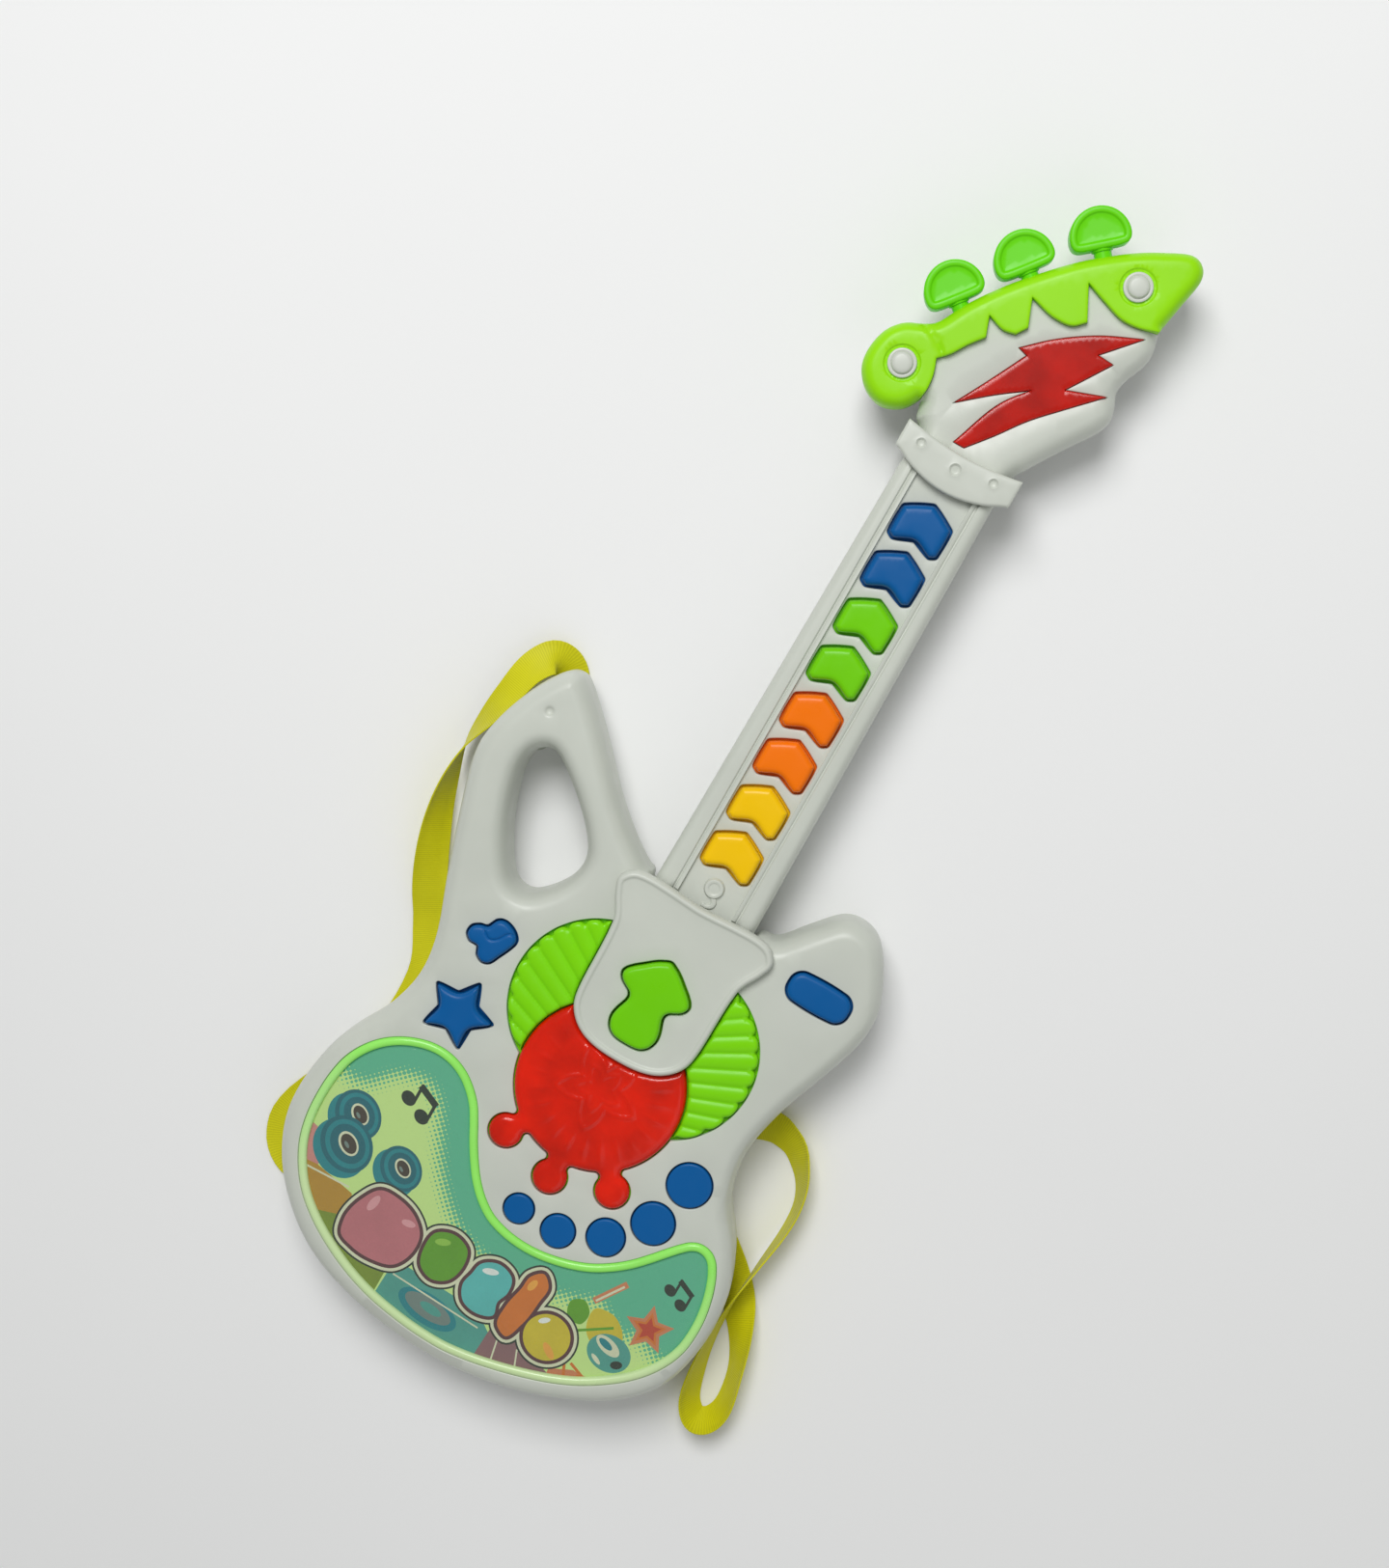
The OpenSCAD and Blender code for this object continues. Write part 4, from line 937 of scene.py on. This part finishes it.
def make_wings():
    wings = [smooth(q, 0.45, 50) for q in section("wing_disc", 32.2) if area(q) > 150]
    z_top = z_range("wing_disc")[1]
    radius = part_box("wing_disc")[1].x / MM - WING_CENTRE[0] - 1.6
    shapes = []
    for q in wings:
        middle = (math.copysign(WING_CENTRE[0], centre(q)[0]), WING_CENTRE[1])
        off = q - middle
        far = np.linalg.norm(off, axis=1)
        notch = 1.3 * np.abs(rib_place(q)) ** 3
        outer = far > radius - 0.7
        q = np.where(outer[:, None], middle + off * (1 - notch / far)[:, None], q)
        edge = Edge([q])

        def top(p):
            rib = np.sqrt(np.maximum(0, 1 - (0.96 * rib_place(p)) ** 2))
            return z_top + 0.1 - edge.bulge(p, 1.5, 1.4) - 1.25 * (1 - rib)

        shapes.append(relief([q], top, flat(29.6), [([q], arc_rings(1.5, 4))], 0.5))
    base = cap([trace("wing_disc", 28.5, 1.2)], 29.5, 27.6, 0.3)
    piece("wings_ribbed", shapes + [base], WING_LIME, ["wing_disc"], slot="lime_plastic", sharp=60)


def make_lens():
    outline = trace("splash_lens", 32.5, 0.5, 50)
    edge = Edge([outline])
    z_low, z_top = z_range("splash_lens")

    def top(p):
        r, a = np.hypot(p[:, 0], p[:, 1]), np.arctan2(p[:, 1], p[:, 0])
        point = (a * 5 / (2 * math.pi) + 0.15) % 1
        star = 15.5 - 8.5 * (1 - np.abs(2 * point - 1))
        ridge = 0.5 * bell(r - star, 0.8) + 0.35 * bell(r - 0.55 * star, 0.7)
        rays = 0.3 * np.cos(12 * a) ** 6 * bell(r - 22, 4)
        dome = (z_top - 34) * np.clip(1 - (r / 30) ** 2, 0, 1)
        return np.minimum(34 - edge.bulge(p, 2.6, 2.2) + dome + ridge + rays - 0.5, z_top)

    body = relief([outline], top, flat(z_low), [([outline], arc_rings(2.6, 6))], 0.7)
    piece("lens_splash", [body], LENS, ["splash_lens"], sharp=60)


# ---------------- buttons, keys and panel


def make_button(node, material, r, h, crown, base=ROOF + 0.5, groove=()):
    """Cap with a rounded edge, on the flange that keeps it under its opening."""
    low, high = z_range(node)
    outline = soften(trace(node, base, 0.4, 50), 3)
    flange = trace(node, low + 1, 0.8, 50)
    top = cap([outline], high, low + 1.5, r, h, 0.9, crown, groove)
    piece(node + "_cap", [top, cap([flange], low + 1.9, low, 0.2)], material, [node], node + "_body")


def make_buttons():
    flag = [(-62.4, 28), (-59.5, 26.3), (-56.9, 27.8), (-54.7, 31), (-52.5, 31.8)]
    for node, r, h, crown, groove in (("note_button", 1.4, 1.5, 0.25, flag),
                                      ("star_button", 1.8, 1.9, 0.0, ()),
                                      ("pill_button", 1.6, 1.3, 0.2, ())):
        make_button(node, BLUE, r, h, crown, groove=groove)
    for k in range(1, 6):
        make_button(f"dot_{k}", BLUE, 0.7, 0.5, 0.0)
    low, high = z_range("arrow_button")
    arrow = cap([trace("arrow_button", 35.4, 0.45, 60)], high, 33.8, 1.5, 1.8, 0.9, 0.3)
    stem = lathe([(0, low), (4.4, low), (4.4, 34), (0, 34)], (0, 36, 0), n=32)
    piece("arrow_cap", [arrow, stem], GREEN, ["arrow_button"], "arrow_button_body")
    for k in range(8):
        colour = (BLUE, GREEN, ORANGE, YELLOW)[k // 2]
        make_button(f"key_{k + 1}", colour, 2.0, 2.2, 0.35, 28.0)


# ---------------- picture panel


def make_panel():
    both = [smooth(q) for q in section("panel_rim", FACE - 0.4)[:2]]
    rim = cap(both, z_range("panel_rim")[1], 30.5, 1.5, 1.3)
    ridge = piece("panel_rim_ridge", [rim], RIM_LIME, ["panel_rim"], slot="lime_plastic")
    # Painted light: points on the side of the rim that faces the neck are marked lit, the other sides pale
    painted_lit_side = ridge.data.attributes.new("painted_lit_side", "FLOAT", "POINT")
    outer = both[0]
    tree = Edge([outer]).tree
    out = np.roll(outer, -1, 0) - np.roll(outer, 1, 0)
    uphill = -out[:, 0] / np.linalg.norm(out, axis=1)
    near = [tree.find((v.co.x / MM, v.co.y / MM, 0))[1] for v in ridge.data.vertices]
    painted_lit_side.data.foreach_set("value", np.clip(0.55 + 0.9 * uphill[near], 0, 1))
    cover = cap([trace("panel_cover", FACE - 0.3)], z_range("panel_cover")[1], 31.1, 0.7, 0.5, 6)
    piece("panel_window", [cover], COVER, ["panel_cover"])


def blob(points, step=0.7, corner=180):
    """Smooth closed curve through a few points."""
    loop = smooth(np.array(points, float), step, corner)
    return loop if area(loop) > 0 else loop[::-1]


def oval(x, y, rx, ry, lean=0.0, n=40):
    """Ellipse whose long side leans by an angle in degrees."""
    c, s = math.cos(math.radians(lean)), math.sin(math.radians(lean))
    return circle(0, 0, 1, n) * (rx, ry) @ np.array([[c, s], [-s, c]]) + (x, y)


def bar(x1, y1, x2, y2, w):
    """Straight stroke of width w from one point to another."""
    a, b = np.array([x1, y1], float), np.array([x2, y2], float)
    side = (b - a)[::-1] * (-1, 1) / np.linalg.norm(b - a) * w / 2
    return np.array([a - side, b - side, b + side, a + side])


def picture_shapes():
    """Coloured shapes of the print, the lowest first: (ink, outline)."""
    shapes = [
        ("pink", [(-92, -62), (-80, -65), (-73, -71), (-74, -79), (-92, -80)]),
        ("mustard", [(-92, -79), (-74, -77), (-58, -80), (-54, -89), (-80, -99)]),
        ("olive", [(-76, -95), (-55, -88), (-50, -97), (-34, -98), (-34, -118), (-60, -118)]),
        ("sea", [(-34, -118), (-33, -97), (-29, -93), (2, -94), (9, -99), (8, -118)]),
        ("mauve", [(8, -118), (9, -97), (22, -97), (35, -101), (38, -112), (20, -118)]),
        ("salmon", [(36, -113), (34, -99), (42, -95), (54, -96), (54, -108)]),
    ]
    shapes += [("cream", bar(-92, -80 - k, -60, -78.5 - 2 * k, 0.7)) for k in (0, 9)]
    shapes += [("teal", oval(-14, -103, 12, 5.6, -4)), ("grey", oval(-14, -102.6, 9.5, 3.8, -4)),
               ("sea", oval(-13, -102.3, 4.4, 1.7, -4)), ("cream", bar(-31, -98, 5, -99.5, 0.6)),
               ("teal", bar(-31, -110.5, 4, -111.5, 0.8)), ("cream", bar(13, -99, 16, -114, 0.6)),
               ("cream", bar(21, -99, 26, -112, 0.6))]
    shapes += [("orange", bar(36 + k, -90 - 0.8 * k, 42 + 2 * k, -103 + 1.5 * k, 1.1)) for k in (0, 4, 8)]
    # Loudspeakers of rings
    for x, y, r in ((-69.8, -53.7, 9.5), (-47, -62.9, 8.6), (-68.3, -65.2, 10.8)):
        shapes.append(("teal", oval(x - 1.4, y - 2.6, r + 0.4, 0.88 * r, -35)))
        shapes += [(ink, oval(x + dx, y + dy, rx * r, ry * r, -35)) for ink, dx, dy, rx, ry in (
            ("cyan_dark", 0, 0, 1, 0.86), ("teal", 0.2, 0.2, 0.86, 0.72),
            ("cyan_dark", 0.3, 0.3, 0.7, 0.57), ("cream", 0.5, 0.5, 0.44, 0.31),
            ("brown", 0.6, 0.5, 0.36, 0.24), ("grey", 0.1, -0.1, 0.13, 0.06))]
    # Notes
    for x, y, k in ((-57, -39, 1.0), (57.5, -51.5, 0.8)):
        shapes += [("black", oval(x, y, 3.0 * k, 2.4 * k, -25)),
                   ("black", oval(x + 7.2 * k, y - 3.6 * k, 3.0 * k, 2.4 * k, -25)),
                   ("black", bar(x + 2.3 * k, y, x + 2.3 * k, y + 7 * k, 1.2 * k)),
                   ("black", bar(x + 9.5 * k, y - 3.6 * k, x + 9.5 * k, y + 3.4 * k, 1.2 * k)),
                   ("black", bar(x + 1.7 * k, y + 6.2 * k, x + 10.1 * k, y + 2.4 * k, 2.4 * k))]
    # Star, green disc, sticks and drum
    star = np.array([(r * math.sin(0.628 * k + 0.35), r * math.cos(0.628 * k + 0.35))
                     for k, r in enumerate((4.4, 9.2) * 5)])
    shapes.append(("yellow", blob([(38, -71), (45, -70), (52, -77), (47, -84), (39, -80)])))
    shapes += [(ink, k * star + (58, -68)) for ink, k in (("salmon", 1), ("orange", 0.7), ("brick", 0.5))]
    shapes += [("green", blob([(29, -73), (33, -70.5), (37, -74), (36, -79), (31, -79)])),
               ("salmon", bar(36, -69, 43.5, -57.5, 2.4)), ("cream", bar(36.6, -68.6, 43, -58.8, 0.8)),
               ("green", bar(34, -83, 47, -74, 1.0)),
               ("sea", oval(50, -83, 8.2, 6.8)), ("cream", oval(48.4, -80.8, 5.2, 2.6, -15)),
               ("teal", oval(47.4, -80.6, 3.0, 1.3, -15)), ("black", oval(54.4, -85.4, 2.2, 1.5, 30)),
               ("cream", oval(47, -87.2, 2.4, 0.8, -25))]
    # Pebbles in a triple outline, and their highlights
    bubbles = [
        ("rose", [(-56, -90), (-54, -80), (-49.5, -73.5), (-42, -73), (-34.5, -75.5), (-29.5, -80.5),
                  (-29, -88.5), (-32.5, -95), (-40.5, -97.5), (-49, -97), (-54.5, -94.8)]),
        ("green", [(-25, -77), (-18.5, -74), (-12, -76.5), (-10.5, -83), (-13, -90), (-18.5, -92.5),
                   (-24, -90), (-26, -83.5)]),
        ("cyan", [(-5.5, -78.5), (0.5, -75), (7, -77.5), (8, -83), (6.5, -87.5), (7.5, -92.5), (2, -95),
                  (-4.5, -93.5), (-7.5, -88), (-6.5, -83)]),
        ("orange", [(11.5, -78.5), (12.3, -73), (16, -69.8), (19.6, -73), (19.4, -80), (18, -90),
                    (14.8, -97), (10.6, -95), (9.8, -87)]),
        ("yellow", circle(28, -89.5, 8.6, 64)),
    ]
    bubbles = [(ink, blob(q)) for ink, q in bubbles]
    for gap, ink in ((3.1, "black"), (2.4, "cream"), (1.3, "plum")):
        shapes += [(ink, grown(q, gap)) for _, q in bubbles]
    shapes += bubbles
    shapes += [("rose_light", oval(-49.5, -79, 1.5, 3.4, -12)), ("rose_light", oval(-35, -79, 2.6, 1.3, 10)),
               ("lime", oval(-21, -78.5, 2.9, 1.3, 25)), ("white", oval(-1, -79, 3, 1.2, 20)),
               ("amber", oval(14.4, -75.5, 1.3, 2.4, -15)), ("amber", oval(31, -93.5, 3.4, 1.4, -35)),
               ("white", oval(24.3, -84.5, 2.2, 1, 40))]
    return shapes


def make_picture():
    outline = trace("art_panel", 30.6, 1.0)
    low, high = z_range("art_panel")
    shapes = picture_shapes()
    closed = [np.array([*q, q[0]], float) for _, q in shapes]
    sheet = relief([outline], flat(high), flat(low), (), 2.0, closed)
    picture = piece("picture_sheet", [sheet], halftone(), ["art_panel"], slot="picture_print")
    names = ["", *INKS]
    for ink, colour in INKS.items():
        picture.data.materials.append(printed("ink_" + ink, srgb(*colour)))
    middle = np.array([f.center[:2] for f in picture.data.polygons]) / MM
    ink_of = np.zeros(len(middle), np.int32)
    for (ink, _), q in zip(shapes, closed):
        ink_of[inside(middle, [q])] = names.index(ink)
    picture.data.polygons.foreach_set("material_index", ink_of)
    p = np.array([v.co[:2] for v in picture.data.vertices]) / MM
    upper = Edge([outline], lambda q: upper_side(q, outline))
    near = 1.15 - upper.distance(p) / 15 + 0.9 * np.clip((p[:, 0] - 38) / 12, 0, 1)
    shade = picture.data.attributes.new("near_edge", "FLOAT", "POINT")
    shade.data.foreach_set("value", np.clip(near, -0.2, 1.2))


def upper_side(p, outline):
    """True for the outline's points whose outward side faces the neck."""
    step = np.roll(outline, -1, 0) - np.roll(outline, 1, 0)
    return (step[:, 0] < -0.2 * np.abs(step[:, 1])) & (p[:, 0] > -78)


# ---------------- back


def make_back_parts():
    leaf = trace("battery_door", 1.0, 0.8, 30)
    edges = [leaf] + [smooth(q, 0.5) for q in section("battery_door", 2.3)[1:] if area(q) > 5]
    edge = Edge(edges)
    low = -z_range("battery_door")[0]
    middle = centre(leaf)

    def outside(p):
        x, y = np.abs(p[:, 0] - middle[0]), p[:, 1] - middle[1]
        grip = (x < 9) & (np.abs(y + 8) < 5.2)
        return low - 0.1 - edge.bulge(p, 0.5) - np.where(grip, 0.5 + 0.4 * np.cos(2.4 * y), 0)

    plate = relief(edges, outside, flat(-2.55), [(edges, arc_rings(0.5, 3))], 0.7)
    hinge = frame_joint("door")
    bead = lathe([(0, -23), (1.4, -23), (1.6, -22.8), (1.6, 22.8), (1.4, 23), (0, 23)],
                 Vector(hinge["pos_m"]) / MM, hinge["axis"], 24)
    piece("battery_door_leaf", [upside_down(plate), bead], WHITE, ["battery_door"], hinge["child"])
    slide = frame_joint("power")
    knob = [trace("power_switch", 3, 0.4, 30)]
    knob_edge = Edge(knob)
    z_low = -z_range("power_switch")[0]

    def ridged(p):
        return z_low - knob_edge.bulge(p, 0.4) - 0.25 * (1 + np.cos(4.2 * p[:, 0]))

    thumb = relief(knob, ridged, flat(-6), [(knob, arc_rings(0.4, 3))], 0.3)
    base = cap([trace("power_switch", 5.8, 1, 30)], 6.7, 5.6, 0.2)
    piece("switch_thumb", [upside_down(thumb), base], DARK, ["power_switch"], slide["child"])
    clips = [cap([smooth(q, 0.6, 30)], 1.85, 0.35, 0.4) for q in section("strap_clips", 1.1)
             if area(q) > 40]
    piece("strap_clip_pair", clips, DARK, ["strap_clips"])


def frame_joint(word):
    """The CAD joint that has the word in its name."""
    return next(j for j in frame["joints"] if word in j["name"])


def dress_cad():
    """Gives the CAD nodes that stay their finishes, by the record's slot names."""
    finishes = {"white_plastic": WHITE, "circuit_board": BOARD, "silicone": RUBBER, "diode": DIODE,
                "dark_plastic": DARK, "speaker_paper": PAPER, "steel": STEEL, "battery": CELL,
                "wire": WIRE}
    for node in frame["nodes"].values():
        for place in node.material_slots:
            if place.material.name in finishes:
                place.material = finishes[place.material.name]


def make_studio():
    """Pale floor, soft overhead light from the upper left and a weak fill."""
    floor = bpy.data.meshes.new("floor")
    floor.from_pydata([(-3, -3, 0), (3, -3, 0), (3, 3, 0), (-3, 3, 0)], [], [(0, 1, 2, 3)])
    ground = add_object("floor", floor)
    f = Finish("floor_pale", (0.92, 0.92, 0.92), Roughness=0.8)
    f.link(f.shade(0.01, 3), "Base Color")
    floor.materials.append(f.material)
    for name, place, size, power, target in (
            ("key", (-0.45, 0.75, 1.3), 0.7, 15, (0, 0.1, 0)),
            ("fill", (0.9, -0.5, 1.2), 1.2, 2.2, (0, 0.1, 0))):
        light = bpy.data.lights.new(name, "AREA")
        light.energy, light.size = power, size
        lamp = add_object(name, light)
        lamp.location = place
        lamp.rotation_euler = (Vector(target) - Vector(place)).to_track_quat("-Z", "Y").to_euler()
    world = bpy.data.worlds.new("studio")
    world.use_nodes = True
    sky = world.node_tree.nodes["Background"].inputs
    sky["Color"].default_value = (0.95, 0.97, 0.95, 1)
    sky["Strength"].default_value = 0.29
    bpy.context.scene.world = world
    bpy.context.scene.view_settings.view_transform = "Standard"


make_camera()
make_strap(woven_ribbon())
make_studio()
make_front()
make_back()
make_neck()
make_head()
make_crest()
make_pegs()
make_collar()
make_neck_plate()
make_wings()
make_lens()
make_buttons()
make_panel()
make_picture()
make_back_parts()
dress_cad()
